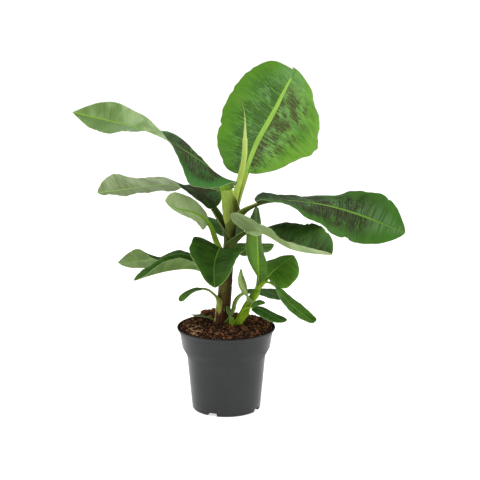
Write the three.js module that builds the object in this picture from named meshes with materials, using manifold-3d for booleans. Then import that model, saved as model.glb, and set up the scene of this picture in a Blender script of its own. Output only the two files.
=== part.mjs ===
// Young dwarf banana plant with its suckers, in a round nursery pot.
// Millimetres, +Z up. The origin is the centre of the pot's flat underside.
import * as THREE from 'three';
import { mergeVertices } from 'three/addons/utils/BufferGeometryUtils.js';
import Module from 'manifold-3d';

const wasm = await Module();
wasm.setup();

// ---------------------------------------------------------------- sizes
const CLEAR = 0.35;            // air left between pieces that meet

const POT = {
  height: 149,                 // underside to top of the lip
  lipRadius: 86.5, lipBand: 8, // thin turned-out lip
  collarTop: 82, collarFoot: 76.8, collarHeight: 29,
  shoulderHeight: 14,
  bodyTop: 69.2, bodyFoot: 60.1, footRadius: 58.4,
  wall: 1.8, floor: 7,
  notchCount: 4, notchWidth: 19, notchHeight: 6, notchReach: 18, notchTurn: -115,
  segments: 32,
};
const SOIL = { edge: 144.8, crown: 155.7, mound: 2.2, segments: 16, rings: 4 };
const STEM = {                 // main pseudostem, leaning a little to +X
  foot: [-8.6, 5, 144], head: [10.6, 2, 346],
  footRadius: 16, waist: 12.4, headRadius: 9, flare: 22,
};
const SUCKER = { foot: [15.5, -6, 144], head: [53.7, -6, 217], footRadius: 8.2, headRadius: 6.8, bend: -2 };
const SHOOT = { foot: [9, -19, 144], head: [10, -17, 170], footRadius: 5.2, headRadius: 3.6 };
const SPEAR = { at: [14, 2, 372], length: 193, heading: [10, -36, -92, -149], rise: [78, 75, 91, 53], footRadius: 5.2, waist: 4.2, tipRadius: 1 };

const BLADE = { rim: 1.3, spine: 2.4 };   // thickness at the margin and at the midrib

// Every leaf is a midrib that leaves its stem at `at` and runs `petiole` + `blade`
// millimetres, turning evenly through its headings (degrees from +X about +Z) and
// rises (degrees above level).  `half` is the half width at the widest place and
// `wide` the left half against the right.  `foot` and `tip` shape the outline
// t^foot (1-t)^tip.  roll turns the blade about its midrib; fold lifts each half
// from the midrib; curl bends it further towards its margin; sweep slants the side
// veins.  thick is the petiole's radius, root its length inside the stem.
const LEAVES = {
  top: { at: [12.2, 6.0, 348.3], petiole: 79, blade: 266, half: 96, wide: 0.96, foot: 0.45, tip: 0.45, thick: 8.5, neck: 6.2, root: 10,
    heading: [2, 58, 64, 66, 64], rise: [80, 55, 31, 33, 27], roll: [-10, 17, 26],
    foldL: [2, 6, 13], foldR: [12, -8, -18], curlL: [-34, -25], curlR: [-26, -41], sweep: [-13, 17] },
  upper_left: { at: [5.3, -2.0, 348.3], petiole: 52, blade: 320, half: 73, wide: 0.96, foot: 0.59, tip: 1.0, thick: 16, neck: 16, root: 4, flat: 0.42, lean: [6, 0, 0], pinch: { side: 1, t: 0.22, by: 0.55, over: 0.09 },
    heading: [-105, -154, -155, -162, -158], rise: [98, 43, 32, 17, 16], roll: [-5, -38, 8, 46, 94],
    foldL: [42, 5, -4, 15, 47], foldR: [-30, -6, 18, 20, 38], curlL: [-18, -14], curlR: [-37, -12], sweep: [-12, 17] },
  right: { at: [12.3, -6.0, 335.0], petiole: 59, blade: 266, half: 83, wide: 1.04, foot: 0.34, tip: 0.72, thick: 9.6, neck: 5.6, root: 10,
    heading: [-11, 7, 4, -6, -21], rise: [64, 4, -10, -19, -17], roll: [-9, 18, 63],
    foldL: [18, -6, 43], foldR: [23, 7, 4], curlL: [-20, -16], curlR: [-21, -29], sweep: [-11, 7] },
  mid_left: { at: [3.5, 4.0, 304.0], petiole: 62, blade: 250, half: 47, wide: 1.02, foot: 0.43, tip: 0.59, thick: 9.6, neck: 6, root: 10,
    heading: [168, 145, 154, 154, 158], rise: [80, 38, -2, -13, -9], roll: [-41, 13, 32, 76],
    foldL: [47, 9, 44], foldR: [22, 7, 45], curlL: [-10, -11], curlR: [-21, -12], sweep: [-12, 18] },
  lower_right: { at: [5.2, -4.0, 280.9], petiole: 62, blade: 170, half: 72, wide: 0.91, foot: 0.34, tip: 0.5, thick: 9, neck: 4.8, root: 10, pinch: { side: 1, t: 0.27, by: 0.3, over: 0.11 },
    heading: [-33, -40, -27, -31, -22], rise: [75, 26, -26, -3, 3], roll: [-12, 5, 22],
    foldL: [8, 43, 49], foldR: [44, 45, 52], curlL: [-44, -18], curlR: [-22, -17], sweep: [-15, 19] },
  small_left: { at: [-3.5, -6.0, 281.4], petiole: 69, blade: 104, half: 32, wide: 1.02, foot: 0.44, tip: 0.45, thick: 6, neck: 4.2, root: 10,
    heading: [-144, -144, -142, -142, -155], rise: [46, 70, 36, 17, 47], roll: [95, 115, 112],
    foldL: [45, 21, 3], foldR: [12, -18, -34], curlL: [-7, -26], curlR: [-34, -54], sweep: [-14, 18] },
  front: { at: [0, -8.0, 267.5], petiole: 44, blade: 121, half: 49, wide: 0.99, foot: 0.4, tip: 0.78, thick: 6.5, neck: 4.2, root: 10,
    heading: [-120, -98, -98, -78], rise: [79, 6, -22, -64], roll: [-13, 0, -10],
    foldL: [10, 29, 22], foldR: [21, 28, 33], curlL: [-22, -17], curlR: [-16, -11], sweep: [-14, 17] },
  low_left_front: { at: [-12.3, -4.0, 243.0], petiole: 46, blade: 125, half: 33, wide: 1.0, foot: 0.4, tip: 0.54, thick: 5, neck: 3.8, root: 12,
    heading: [-151, -147, -147, -148], rise: [30, 9, -3, -12], roll: [-15, 9, 10],
    foldL: [44, 57, 26], foldR: [59, 48, 14], curlL: [-23, -31], curlR: [-17, -39], sweep: [-14, 18] },
  low_left_back: { at: [-7.2, 10.0, 252.1], petiole: 64, blade: 155, half: 33, wide: 0.99, foot: 0.42, tip: 0.56, thick: 5.5, neck: 4, root: 10,
    heading: [160, 147, 149, 156], rise: [16, -2, -13, -12], roll: [-7, -3, 57, 48],
    foldL: [15, 21, -10], foldR: [1, 29, 18], curlL: [-22, -35], curlR: [-27, -18], sweep: [-14, 18] },
  back_right: { at: [8.6, 8.0, 263.4], petiole: 23, blade: 100, half: 22, wide: 1.03, foot: 0.39, tip: 0.7, thick: 4.8, neck: 3.8, root: 10,
    heading: [55, 53, 45, 44], rise: [53, 3, -10, 6], roll: [17, 8, 22],
    foldL: [13, 12, 14], foldR: [-3, 5, -10], curlL: [-25, -23], curlR: [-35, -43], sweep: [-14, 5] },
  back: { at: [6.9, 8.0, 292.3], petiole: 22, blade: 177, half: 41, wide: 0.99, foot: 0.42, tip: 0.5, thick: 5.2, neck: 4.2, root: 10,
    heading: [96, 92, 93, 94], rise: [47, -6, -15, -28], roll: [0, 5, 1],
    foldL: [12, 32, 12], foldR: [13, 25, 12], curlL: [-20, -20], curlR: [-21, -22], sweep: [-15, 25] },
  low_right_back: { at: [11.5, 10.0, 167.1], petiole: 49, blade: 85, half: 23, wide: 1.02, foot: 0.44, tip: 0.45, thick: 8.2, neck: 3.4, root: 22,
    heading: [73, 39, 28, 33], rise: [93, 15, -14, -27], roll: [-4, 6, 18],
    foldL: [12, 7, 34], foldR: [16, 2, 14], curlL: [-26, -15], curlR: [-26, -26], sweep: [-14, 27] },
  low_left_arching: { at: [-18.7, 0.0, 167.4], petiole: 78, blade: 50, half: 12, wide: 1.0, foot: 0.41, tip: 0.5, thick: 5.6, neck: 2.8, root: 14,
    heading: [-22, -125, -150, -113], rise: [92, 55, -5, -33], roll: [-5, 5, 3],
    foldL: [7, 17, 24], foldR: [13, 12, 21], curlL: [-26, -18], curlR: [-24, -20], sweep: [-14, 18] },
  sucker_upright: { at: [54.2, -6.0, 212.8], petiole: 14, blade: 138, half: 30, wide: 1.0, foot: 0.43, tip: 0.49, thick: 5.6, neck: 3.6, root: 8,
    heading: [111, 103, 94, 87], rise: [105, 85, 74, 60], roll: [25, 30, 51],
    foldL: [64, 14, 34], foldR: [26, -19, 0], curlL: [-3, -14], curlR: [-25, -38], sweep: [-13, 19] },
  sucker_round: { at: [54.2, -4.0, 215.9], petiole: 29, blade: 70, half: 41, wide: 0.98, foot: 0.37, tip: 0.61, thick: 5.2, neck: 3.2, root: 8,
    heading: [19, 37, 43, 44], rise: [46, 37, 22, 20], roll: [36, 11, 13],
    foldL: [50, 4, 5], foldR: [4, -5, -10], curlL: [-9, -30], curlR: [-32, -41], sweep: [-12, 0] },
  sucker_drooping: { at: [54.1, -8.0, 215.2], petiole: 37, blade: 107, half: 24, wide: 1.01, foot: 0.45, tip: 0.5, thick: 4.6, neck: 3, root: 8,
    heading: [-20, -42, -24, -26], rise: [83, -30, -36, -26], roll: [-29, -1, 7],
    foldL: [10, 12, 22], foldR: [40, 10, 17], curlL: [-26, -20], curlR: [-12, -23], sweep: [-10, 23] },
  sucker_low: { at: [23.6, -12.0, 167.2], petiole: 44, blade: 67, half: 18, wide: 0.99, foot: 0.41, tip: 0.51, thick: 3.8, neck: 2.8, root: 8,
    heading: [-27, -41, -28, -33], rise: [80, 11, -22, -2], roll: [4, 3, 6],
    foldL: [9, 8, 17], foldR: [5, 6, 11], curlL: [-28, -24], curlR: [-29, -27], sweep: [-14, 8] },
  sucker_folded: { at: [38.6, -9.0, 177.3], petiole: 18, blade: 68, half: 13, wide: 1.01, foot: 0.42, tip: 0.51, thick: 3, neck: 2.2, root: 4,
    heading: [308, 238, 186, 147], rise: [66, 71, 68, 92], roll: [-10, -24, 8],
    foldL: [31, -4, 29], foldR: [40, 26, 19], curlL: [-38, -39], curlR: [-28, -40], sweep: [-14, 18] },
  sucker_bract: { at: [32.0, -13.5, 176.5], petiole: 17, blade: 34, half: 8, wide: 1.0, foot: 0.42, tip: 0.5, thick: 2.8, neck: 1.8, root: 4,
    heading: [-24, -35, -36, -18], rise: [44, 44, 23, -4], roll: [14, 23, 4],
    foldL: [25, 25, 8], foldR: [12, 2, 4], curlL: [-15, -24], curlR: [-27, -31], sweep: [-14, 18] },
  shoot: { at: [10, -16.4, 157], petiole: 11, blade: 25, half: 9.5, wide: 1.0, foot: 0.42, tip: 0.49, neck: 2.6, root: 0,
    heading: [243, 230, 215, 205], rise: [80, 78, 65, 52], roll: [-6, -31, -20],
    foldL: [13, 2, -7], foldR: [19, 32, 12], curlL: [-27, -37], curlR: [-17, -20], sweep: [-14, 18] },
  low_resting: { at: [-20.5, 9.0, 157.0], petiole: 3, blade: 52, half: 7.5, wide: 1.0, foot: 0.42, tip: 0.6, neck: 2.6, root: 0,
    heading: [146, 142, 139, 140], rise: [12, 3, -3, -6], roll: [10, 4, -8],
    foldL: [24, 14, 20], foldR: [18, 16, 6], curlL: [-20, -26], curlR: [-16, -26], sweep: [-14, 18] },
};

// blades that turn over along their length are made in two pieces
const SPLIT = { upper_left: 0.5, mid_left: 0.36 };

const GREEN = 0x3f7a34, PALE = 0x9db77c, PETIOLE = 0x8fae4e, YOUNG = 0xa9bf62;

// ---------------------------------------------------------------- small maths
const rad = Math.PI / 180;
const V = (x, y, z) => new THREE.Vector3(x, y, z);
const mix = (a, b, t) => a + (b - a) * t;

// value at t of a smooth curve through evenly spaced numbers
function along(list, t) {
  const n = list.length - 1;
  if (n === 0) return list[0];
  const x = Math.min(Math.max(t, 0), 1) * n, i = Math.min(Math.floor(x), n - 1), f = x - i;
  const p1 = list[i], p2 = list[i + 1];
  const p0 = i > 0 ? list[i - 1] : 2 * p1 - p2;
  const p3 = i < n - 1 ? list[i + 2] : 2 * p2 - p1;
  return 0.5 * (2 * p1 + (p2 - p0) * f + (2 * p0 - 5 * p1 + 4 * p2 - p3) * f * f + (3 * p1 - p0 - 3 * p2 + p3) * f ** 3);
}

// direction of travel and upper-face normal for a heading and a rise
function bearing(heading, rise) {
  const h = heading * rad, r = rise * rad;
  return {
    T: V(Math.cos(h) * Math.cos(r), Math.sin(h) * Math.cos(r), Math.sin(r)),
    N: V(-Math.cos(h) * Math.sin(r), -Math.sin(h) * Math.sin(r), Math.cos(r)),
  };
}

const STEPS = 60;
function midrib(leaf) {
  const total = leaf.petiole + leaf.blade;
  const points = [V(...leaf.at)];
  for (let i = 0; i < STEPS; i++) {
    const s = (i + 0.5) / STEPS;
    const { T } = bearing(along(leaf.heading, s), along(leaf.rise, s));
    points.push(points[i].clone().addScaledVector(T, total / STEPS));
  }
  // `lean` moves the foot of the stalk sideways, fading out where the blade starts
  const lean = V(...(leaf.lean || [0, 0, 0])), foot = leaf.petiole / total;
  return (s) => {
    const { T, N } = bearing(along(leaf.heading, s), along(leaf.rise, s));
    const off = lean.clone().multiplyScalar(Math.max(0, 1 - Math.max(s, 0) / Math.max(foot, 1e-6)) ** 2);
    if (s < 0) return { P: points[0].clone().addScaledVector(T, s * total).add(off), T, N };
    const x = Math.min(s, 1) * STEPS, i = Math.min(Math.floor(x), STEPS - 1);
    return { P: points[i].clone().lerp(points[i + 1], x - i).add(off), T, N };
  };
}

const outline = (t, a, b) => {
  const m = a / (a + b);
  return (t ** a * (1 - t) ** b) / (m ** a * (1 - m) ** b);
};

// ---------------------------------------------------------------- solids
// A grid of rings, each a closed loop of the same number of points, capped at both ends.
// `turned` says that the section's x and y turn the other way about the travel.
function loft(rings, section, turned = false) {
  const n = rings[0].length, pos = [], idx = [];
  for (const ring of rings) for (const p of ring) pos.push(p.x, p.y, p.z);
  for (let i = 0; i + 1 < rings.length; i++)
    for (let j = 0; j < n; j++) {
      const a = i * n + j, b = i * n + (j + 1) % n, c = a + n, d = b + n;
      idx.push(a, b, d, a, d, c);
    }
  const caps = THREE.ShapeUtils.triangulateShape(section, []);
  const last = (rings.length - 1) * n;
  for (const [a, b, c] of caps) { idx.push(a, c, b); idx.push(last + a, last + b, last + c); }
  if (turned) for (let i = 0; i < idx.length; i += 3) [idx[i + 1], idx[i + 2]] = [idx[i + 2], idx[i + 1]];
  const g = new THREE.BufferGeometry();
  g.setAttribute('position', new THREE.Float32BufferAttribute(pos, 3));
  g.setIndex(idx);
  return g;
}

function solid(geometry) {
  const g = geometry.clone();
  g.deleteAttribute('normal'); g.deleteAttribute('uv');
  const m = mergeVertices(g, 1e-4);
  const tri = [];
  const ix = m.index.array;
  for (let i = 0; i < ix.length; i += 3)
    if (ix[i] !== ix[i + 1] && ix[i + 1] !== ix[i + 2] && ix[i] !== ix[i + 2]) tri.push(ix[i], ix[i + 1], ix[i + 2]);
  return new wasm.Manifold(new wasm.Mesh({
    numProp: 3, vertProperties: new Float32Array(m.attributes.position.array), triVerts: new Uint32Array(tri),
  }));
}

function geometryOf(manifold) {
  const mesh = manifold.getMesh();
  const pos = new Float32Array(mesh.numVert * 3);
  for (let i = 0; i < mesh.numVert; i++)
    for (let k = 0; k < 3; k++) pos[3 * i + k] = mesh.vertProperties[i * mesh.numProp + k];
  const g = new THREE.BufferGeometry();
  g.setAttribute('position', new THREE.BufferAttribute(pos, 3));
  g.setIndex(new THREE.BufferAttribute(new Uint32Array(mesh.triVerts), 1));
  g.computeVertexNormals();
  return g;
}

// ---------------------------------------------------------------- limbs
// A round, slightly lobed limb between two points, with its own radius at every level.
function limb(spec, radius, { sides = 12, rows = 8, lobes = 0.05, grow = 0, lift = 0 } = {}) {
  const foot = V(...spec.foot), head = V(...spec.head), rings = [];
  const section = [];
  for (let j = 0; j < sides; j++) section.push(new THREE.Vector2(Math.cos(j / sides * 2 * Math.PI), Math.sin(j / sides * 2 * Math.PI)));
  for (let i = 0; i <= rows; i++) {
    const t = i / rows;
    const c = foot.clone().lerp(head, t);
    c.x += (spec.bend || 0) * Math.sin(Math.PI * t);
    if (i === rows) c.z += grow ? lift : 0;
    const r = radius(t) + grow;
    rings.push(section.map((q, j) => {
      const a = j / sides * 2 * Math.PI;
      const k = r * (1 + lobes * Math.cos(2 * a + 1.1 + 1.5 * t) + 0.5 * lobes * Math.cos(3 * a + 4 * t));
      return V(c.x + q.x * k, c.y + q.y * k, c.z);
    }));
  }
  return loft(rings, section);
}

const stemRadius = (t) => {
  const z = t * (STEM.head[2] - STEM.foot[2]);
  return mix(STEM.waist, STEM.headRadius, t ** 1.2) + (STEM.footRadius - STEM.waist) * Math.exp(-z / STEM.flare);
};

// ---------------------------------------------------------------- petioles
// A channelled stalk: round below, hollowed above, tapering from `thick` at the
// stem to `neck` where the blade starts.
function petiole(leaf, grow = 0) {
  const at = midrib(leaf), total = leaf.petiole + leaf.blade;
  const s1 = (leaf.petiole - CLEAR + grow) / total, s0 = -(leaf.root + grow) / total;
  const rows = leaf.petiole > 45 ? 5 : 3, rings = [];
  const shape = [];
  for (const a of [180, 216, 252, 288, 324, 360]) shape.push([Math.cos(a * rad), Math.sin(a * rad)]);
  // a sheath-like stalk is a thin gutter, the others are nearly full
  const dip = leaf.flat ? -0.6 : -0.16, edge = leaf.flat ? 0.1 : 0.36;
  shape.push([0.72, grow ? 0.36 : edge], [0, grow ? 0.4 : dip], [-0.72, grow ? 0.36 : edge]);
  const section = shape.map(([x, y]) => new THREE.Vector2(x, y));
  for (let i = 0; i <= rows; i++) {
    const t = i / rows, s = mix(s0, s1, t);
    const { P, T, N } = at(s);
    const roll = leaf.roll[0] * rad * Math.max(0, t);
    const R = T.clone().cross(N);
    const N2 = N.clone().multiplyScalar(Math.cos(roll)).addScaledVector(R, Math.sin(roll));
    const R2 = T.clone().cross(N2);
    const r = mix(leaf.thick, leaf.neck, Math.max(0, t)) + grow;
    const deep = (leaf.flat || 0.8) * mix(leaf.thick, leaf.neck, Math.max(0, t)) + grow;
    rings.push(shape.map(([x, y]) => P.clone().addScaledVector(R2, x * r).addScaledVector(N2, y * deep)));
  }
  return loft(rings, section, true);
}

// ---------------------------------------------------------------- blades
// A thin closed blade between t0 and t1 of its length, bent and rolled as its leaf says.
function blade(leaf, { t0 = 0, t1 = 1, rows = 10, half = 2, grow = 0 } = {}) {
  const at = midrib(leaf), total = leaf.petiole + leaf.blade, s0 = leaf.petiole / total;
  const grid = [];
  const start = t0 + (t0 > 0 ? CLEAR / leaf.blade : 0);
  for (let i = 0; i <= rows; i++) {
    // closer rows near both ends, where the outline turns fastest
    let t = mix(start, t1, i / rows);
    if (t0 === 0) t = i === 1 ? t * 0.45 : t;
    if (t1 === 1 && i === rows - 1) t = mix(t, 1, 0.45);
    const { P, T, N } = at(s0 + (1 - s0) * t);
    const R = T.clone().cross(N), roll = along(leaf.roll, t) * rad, sweep = along(leaf.sweep, t) * rad;
    const N2 = N.clone().multiplyScalar(Math.cos(roll)).addScaledVector(R, Math.sin(roll));
    const R2 = T.clone().cross(N2);
    const w = Math.max(leaf.half * outline(t, leaf.foot, leaf.tip), t < 0.5 ? leaf.neck * 0.8 : 1.5) + grow;
    const row = new Array(2 * half + 1);
    row[half] = P;
    for (const side of [-1, 1]) {
      const fold = along(side > 0 ? leaf.foldR : leaf.foldL, t), curl = along(side > 0 ? leaf.curlR : leaf.curlL, t);
      let width = w * (side > 0 ? 1 / leaf.wide : leaf.wide);
      if (leaf.pinch && leaf.pinch.side === side) width *= 1 - leaf.pinch.by * Math.exp(-(((t - leaf.pinch.t) / leaf.pinch.over) ** 2));
      const E = R2.clone().multiplyScalar(side * Math.cos(sweep)).addScaledVector(T, Math.sin(sweep));
      let p = P.clone();
      const fine = 8;
      for (let k = 1; k <= fine * half; k++) {
        const v = (k - 0.5) / (fine * half), phi = (fold + curl * v) * rad;
        p = p.clone().addScaledVector(E, Math.cos(phi) * width / (fine * half)).addScaledVector(N2, Math.sin(phi) * width / (fine * half));
        if (k % fine === 0) row[half + side * k / fine] = p;
      }
    }
    grid.push(row);
  }
  const m = 2 * half + 1, rowsN = grid.length;
  // surface normals from neighbouring points
  const normal = (i, j) => {
    const u = grid[Math.min(i + 1, rowsN - 1)][j].clone().sub(grid[Math.max(i - 1, 0)][j]);
    const v = grid[i][Math.min(j + 1, m - 1)].clone().sub(grid[i][Math.max(j - 1, 0)]);
    return v.cross(u).normalize();
  };
  const top = [], low = [];
  for (let i = 0; i < rowsN; i++) for (let j = 0; j < m; j++) {
    const n = normal(i, j), k = mix(BLADE.spine, BLADE.rim, Math.abs(j - half) / half) / 2 + grow;
    top.push(grid[i][j].clone().addScaledVector(n, k));
    low.push(grid[i][j].clone().addScaledVector(n, -k));
  }
  const pos = [], idx = [], base = top.length;
  for (const p of top.concat(low)) pos.push(p.x, p.y, p.z);
  for (let i = 0; i + 1 < rowsN; i++) for (let j = 0; j + 1 < m; j++) {
    const a = i * m + j, b = a + 1, c = a + m, d = c + 1;
    idx.push(a, b, d, a, d, c);
    idx.push(base + a, base + d, base + b, base + a, base + c, base + d);
  }
  const edge = [];
  for (let j = 0; j < m; j++) edge.push(j);
  for (let i = 1; i < rowsN; i++) edge.push(i * m + m - 1);
  for (let j = m - 2; j >= 0; j--) edge.push((rowsN - 1) * m + j);
  for (let i = rowsN - 2; i > 0; i--) edge.push(i * m);
  for (let e = 0; e < edge.length; e++) {
    const a = edge[e], b = edge[(e + 1) % edge.length];
    idx.push(a, base + a, base + b, a, base + b, b);
  }
  const g = new THREE.BufferGeometry();
  g.setAttribute('position', new THREE.Float32BufferAttribute(pos, 3));
  g.setIndex(idx);
  return g;
}

// a rolled, unopened leaf: a slim tapering cone along its own path
function rolled(spec, grow = 0) {
  const at = midrib({ at: spec.at, petiole: 0, blade: spec.length, heading: spec.heading, rise: spec.rise });
  const sides = 8, rows = 8, rings = [], section = [];
  for (let j = 0; j < sides; j++) section.push(new THREE.Vector2(Math.cos(j / sides * 2 * Math.PI), Math.sin(j / sides * 2 * Math.PI)));
  for (let i = 0; i <= rows; i++) {
    const t = i / rows, { P, T, N } = at(t), R = T.clone().cross(N);
    const r = (t < 0.75 ? mix(spec.footRadius, spec.waist, t / 0.75) : mix(spec.waist, spec.tipRadius, ((t - 0.75) / 0.25) ** 1.2)) + grow;
    rings.push(section.map((q) => P.clone().addScaledVector(R, q.x * r).addScaledVector(N, q.y * r)));
  }
  return loft(rings, section, true);
}

// ---------------------------------------------------------------- pot and soil
function potProfile(inset) {
  const p = POT, shoulderTop = p.height - p.lipBand - p.collarHeight, shoulderFoot = shoulderTop - p.shoulderHeight;
  return [
    [p.bodyFoot - inset, 0], [p.bodyTop - inset, shoulderFoot], [p.collarFoot - inset, shoulderTop],
    [p.collarTop - inset, p.height - p.lipBand],
  ];
}
function pot() {
  const p = POT;
  const outer = [[0, 0], [p.footRadius, 0], [p.bodyFoot, 2.5], ...potProfile(0).slice(1), [p.lipRadius - 2.6, p.height - p.lipBand + 1], [p.lipRadius, p.height - 1.6], [p.lipRadius - 0.6, p.height]];
  const inner = potProfile(p.wall).slice(1).reverse();
  const profile = [...outer, [p.lipRadius - p.wall - 1.4, p.height], ...inner, [p.bodyFoot - p.wall + 0.3, p.floor], [0, p.floor]];
  const g = new THREE.LatheGeometry(profile.map(([x, y]) => new THREE.Vector2(x, y)), p.segments);
  g.rotateX(Math.PI / 2);
  let body = solid(g);
  if (body.volume() < 0) throw new Error('pot profile is inside out');
  for (let i = 0; i < p.notchCount; i++) {
    // the roof of a notch slopes down inwards, under the raised floor
    const slope = p.notchHeight / p.notchReach, wedge = new THREE.Shape();
    wedge.moveTo(p.bodyFoot - p.notchReach - 1 / slope, -1); wedge.lineTo(p.bodyFoot + 4, -1);
    wedge.lineTo(p.bodyFoot + 4, p.notchHeight + 4 * slope);
    const cut = new THREE.ExtrudeGeometry(wedge, { depth: p.notchWidth, bevelEnabled: false });
    cut.rotateX(Math.PI / 2); cut.translate(0, p.notchWidth / 2, 0);
    cut.rotateZ((p.notchTurn + i * 360 / p.notchCount) * rad);
    body = body.subtract(solid(cut));
  }
  return body;
}
function soil() {
  const s = SOIL, inset = POT.wall + CLEAR;
  const wallAt = potProfile(inset);
  const side = [[POT.bodyFoot - inset - 0.2, POT.floor + CLEAR], wallAt[1], wallAt[2], [mix(wallAt[2][0], wallAt[3][0], (s.edge - wallAt[2][1]) / (wallAt[3][1] - wallAt[2][1])) - 0.3, s.edge]];
  const profile = [[0, side[0][1]], ...side];
  const rim = side[3][0];
  for (let i = 1; i < s.rings; i++) profile.push([rim * (1 - i / s.rings), s.edge + (s.crown - s.edge) * (1 - (1 - i / s.rings) ** 2) ** 0.7]);
  profile.push([0, s.crown]);
  const g = new THREE.LatheGeometry(profile.map(([x, y]) => new THREE.Vector2(x, y)), s.segments);
  const q = g.attributes.position;
  for (let i = 0; i < q.count; i++) {
    const x = q.getX(i), y = q.getY(i), z = q.getZ(i);
    if (y > s.edge + 0.5) q.setY(i, y + s.mound * Math.sin(x * 0.11 + 1) * Math.cos(z * 0.13 - 0.5) * Math.min(1, (y - s.edge) / 4));
  }
  g.rotateX(Math.PI / 2);
  return solid(g);
}

// ---------------------------------------------------------------- assembly
const group = new THREE.Group();
const laid = [];               // pieces already placed, with a slightly larger copy to cut by
const paint = (color, roughness) => new THREE.MeshStandardMaterial({ color, roughness, metalness: 0 });

function largest(m) {
  const parts = m.decompose();
  return parts.length < 2 ? m : parts.reduce((a, b) => (b.volume() > a.volume() ? b : a));
}
const meet = (a, b) => {
  const p = a.boundingBox(), q = b.boundingBox();
  return [0, 1, 2].every((k) => p.min[k] < q.max[k] && q.min[k] < p.max[k]);
};
function place(name, body, larger, material) {
  for (const other of laid) if (other.larger && meet(body, other.larger)) body = body.subtract(other.larger);
  body = largest(body);
  if (larger) laid.push({ name, larger });
  const mesh = new THREE.Mesh(geometryOf(body), material);
  mesh.name = name;
  group.add(mesh);
}

place('pseudostem', solid(limb(STEM, stemRadius, { sides: 12, rows: 8 })), solid(limb(STEM, stemRadius, { sides: 12, rows: 8, grow: CLEAR, lift: CLEAR })), paint(0x5a3327, 0.55));
const suckerRadius = (t) => mix(SUCKER.footRadius, SUCKER.headRadius, t ** 0.8);
place('sucker_stem', solid(limb(SUCKER, suckerRadius, { sides: 10, rows: 6 })), solid(limb(SUCKER, suckerRadius, { sides: 10, rows: 6, grow: CLEAR, lift: CLEAR })), paint(PETIOLE, 0.5));
const shootRadius = (t) => mix(SHOOT.footRadius, SHOOT.headRadius, t);
place('shoot_stem', solid(limb(SHOOT, shootRadius, { sides: 8, rows: 3 })), solid(limb(SHOOT, shootRadius, { sides: 8, rows: 3, grow: CLEAR, lift: CLEAR })), paint(PETIOLE, 0.5));

for (const [name, leaf] of Object.entries(LEAVES)) {
  if (leaf.thick) place(`petiole_${name}`, solid(petiole(leaf)), solid(petiole(leaf, CLEAR)), paint(PETIOLE, 0.5));
  if (name === 'upper_left') place('spear_leaf', solid(rolled(SPEAR)), solid(rolled(SPEAR, CLEAR)), paint(YOUNG, 0.5));
}
for (const [name, leaf] of Object.entries(LEAVES)) {
  const big = leaf.blade > 200, spec = { rows: leaf.blade > 240 ? 10 : leaf.blade > 110 ? 7 : leaf.blade > 60 ? 6 : 4, half: big ? 3 : 2 };
  if (SPLIT[name]) {
    const cut = SPLIT[name];
    for (const [tag, t0, t1, rows] of [['base', 0, cut, 7], ['end', cut, 1, 7]])
      place(`blade_${name}_${tag}`, solid(blade(leaf, { ...spec, rows, t0, t1 })), solid(blade(leaf, { ...spec, rows, t0, t1, grow: CLEAR * 0.6 })), paint(tag === 'base' ? GREEN : PALE, 0.5));
  } else place(`blade_${name}`, solid(blade(leaf, spec)), solid(blade(leaf, { ...spec, grow: CLEAR })), paint(GREEN, 0.5));
}

place('soil', soil(), null, paint(0x3b2519, 0.95));
{
  const mesh = new THREE.Mesh(geometryOf(pot()), paint(0x484b4d, 0.45));
  mesh.name = 'pot';
  group.add(mesh);
}

export default group;
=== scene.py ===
"""Looks of a young dwarf banana plant in a round nursery pot.

Lengths in the tables are millimetres in the part's own frame, +Z up, with the
origin at the centre of the pot's flat underside.  Everything that is random
takes its numbers from a seed made of the piece's own name.
"""
import math
import zlib

import bpy
import numpy as np
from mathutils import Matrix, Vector


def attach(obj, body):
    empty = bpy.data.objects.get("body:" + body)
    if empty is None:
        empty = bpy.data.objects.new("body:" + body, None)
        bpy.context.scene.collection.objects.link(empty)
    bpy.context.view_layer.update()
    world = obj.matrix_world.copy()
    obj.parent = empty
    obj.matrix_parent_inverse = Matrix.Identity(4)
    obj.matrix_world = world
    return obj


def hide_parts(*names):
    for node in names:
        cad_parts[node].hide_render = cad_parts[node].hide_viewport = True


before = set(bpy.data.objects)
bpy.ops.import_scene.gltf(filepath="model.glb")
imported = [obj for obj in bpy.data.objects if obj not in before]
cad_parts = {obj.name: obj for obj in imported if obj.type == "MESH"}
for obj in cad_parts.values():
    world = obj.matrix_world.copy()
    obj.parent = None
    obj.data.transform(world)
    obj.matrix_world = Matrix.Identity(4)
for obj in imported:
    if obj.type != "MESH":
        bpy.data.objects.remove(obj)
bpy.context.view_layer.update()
MM = 0.001

# ------------------------------------------------------------------ sizes
POT = dict(height=149, lip_radius=86.5, lip_band=8, collar_top=82, collar_foot=76.8, collar_height=29,
           shoulder_height=14, body_top=69.2, body_foot=60.1, foot_radius=58.4, wall=1.8, floor=7,
           notch_count=4, notch_width=19, notch_height=6, notch_reach=18, notch_turn=-115)
SOIL = dict(edge=144.8, crown=155.7)
STEM = dict(foot=(-8.6, 5, 144), head=(10.6, 2, 346), foot_radius=16, waist=12.4, head_radius=9, flare=22)
SUCKER = dict(foot=(15.5, -6, 144), head=(53.7, -6, 217), foot_radius=8.2, head_radius=6.8, bend=-2)
SHOOT = dict(foot=(9, -19, 144), head=(10, -17, 170), foot_radius=5.2, head_radius=3.6)
SPEAR = dict(at=(14, 2, 372), length=193, heading=(10, -36, -92, -149), rise=(78, 75, 91, 53),
             foot_radius=5.2, waist=4.2, tip_radius=1.0)

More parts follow.
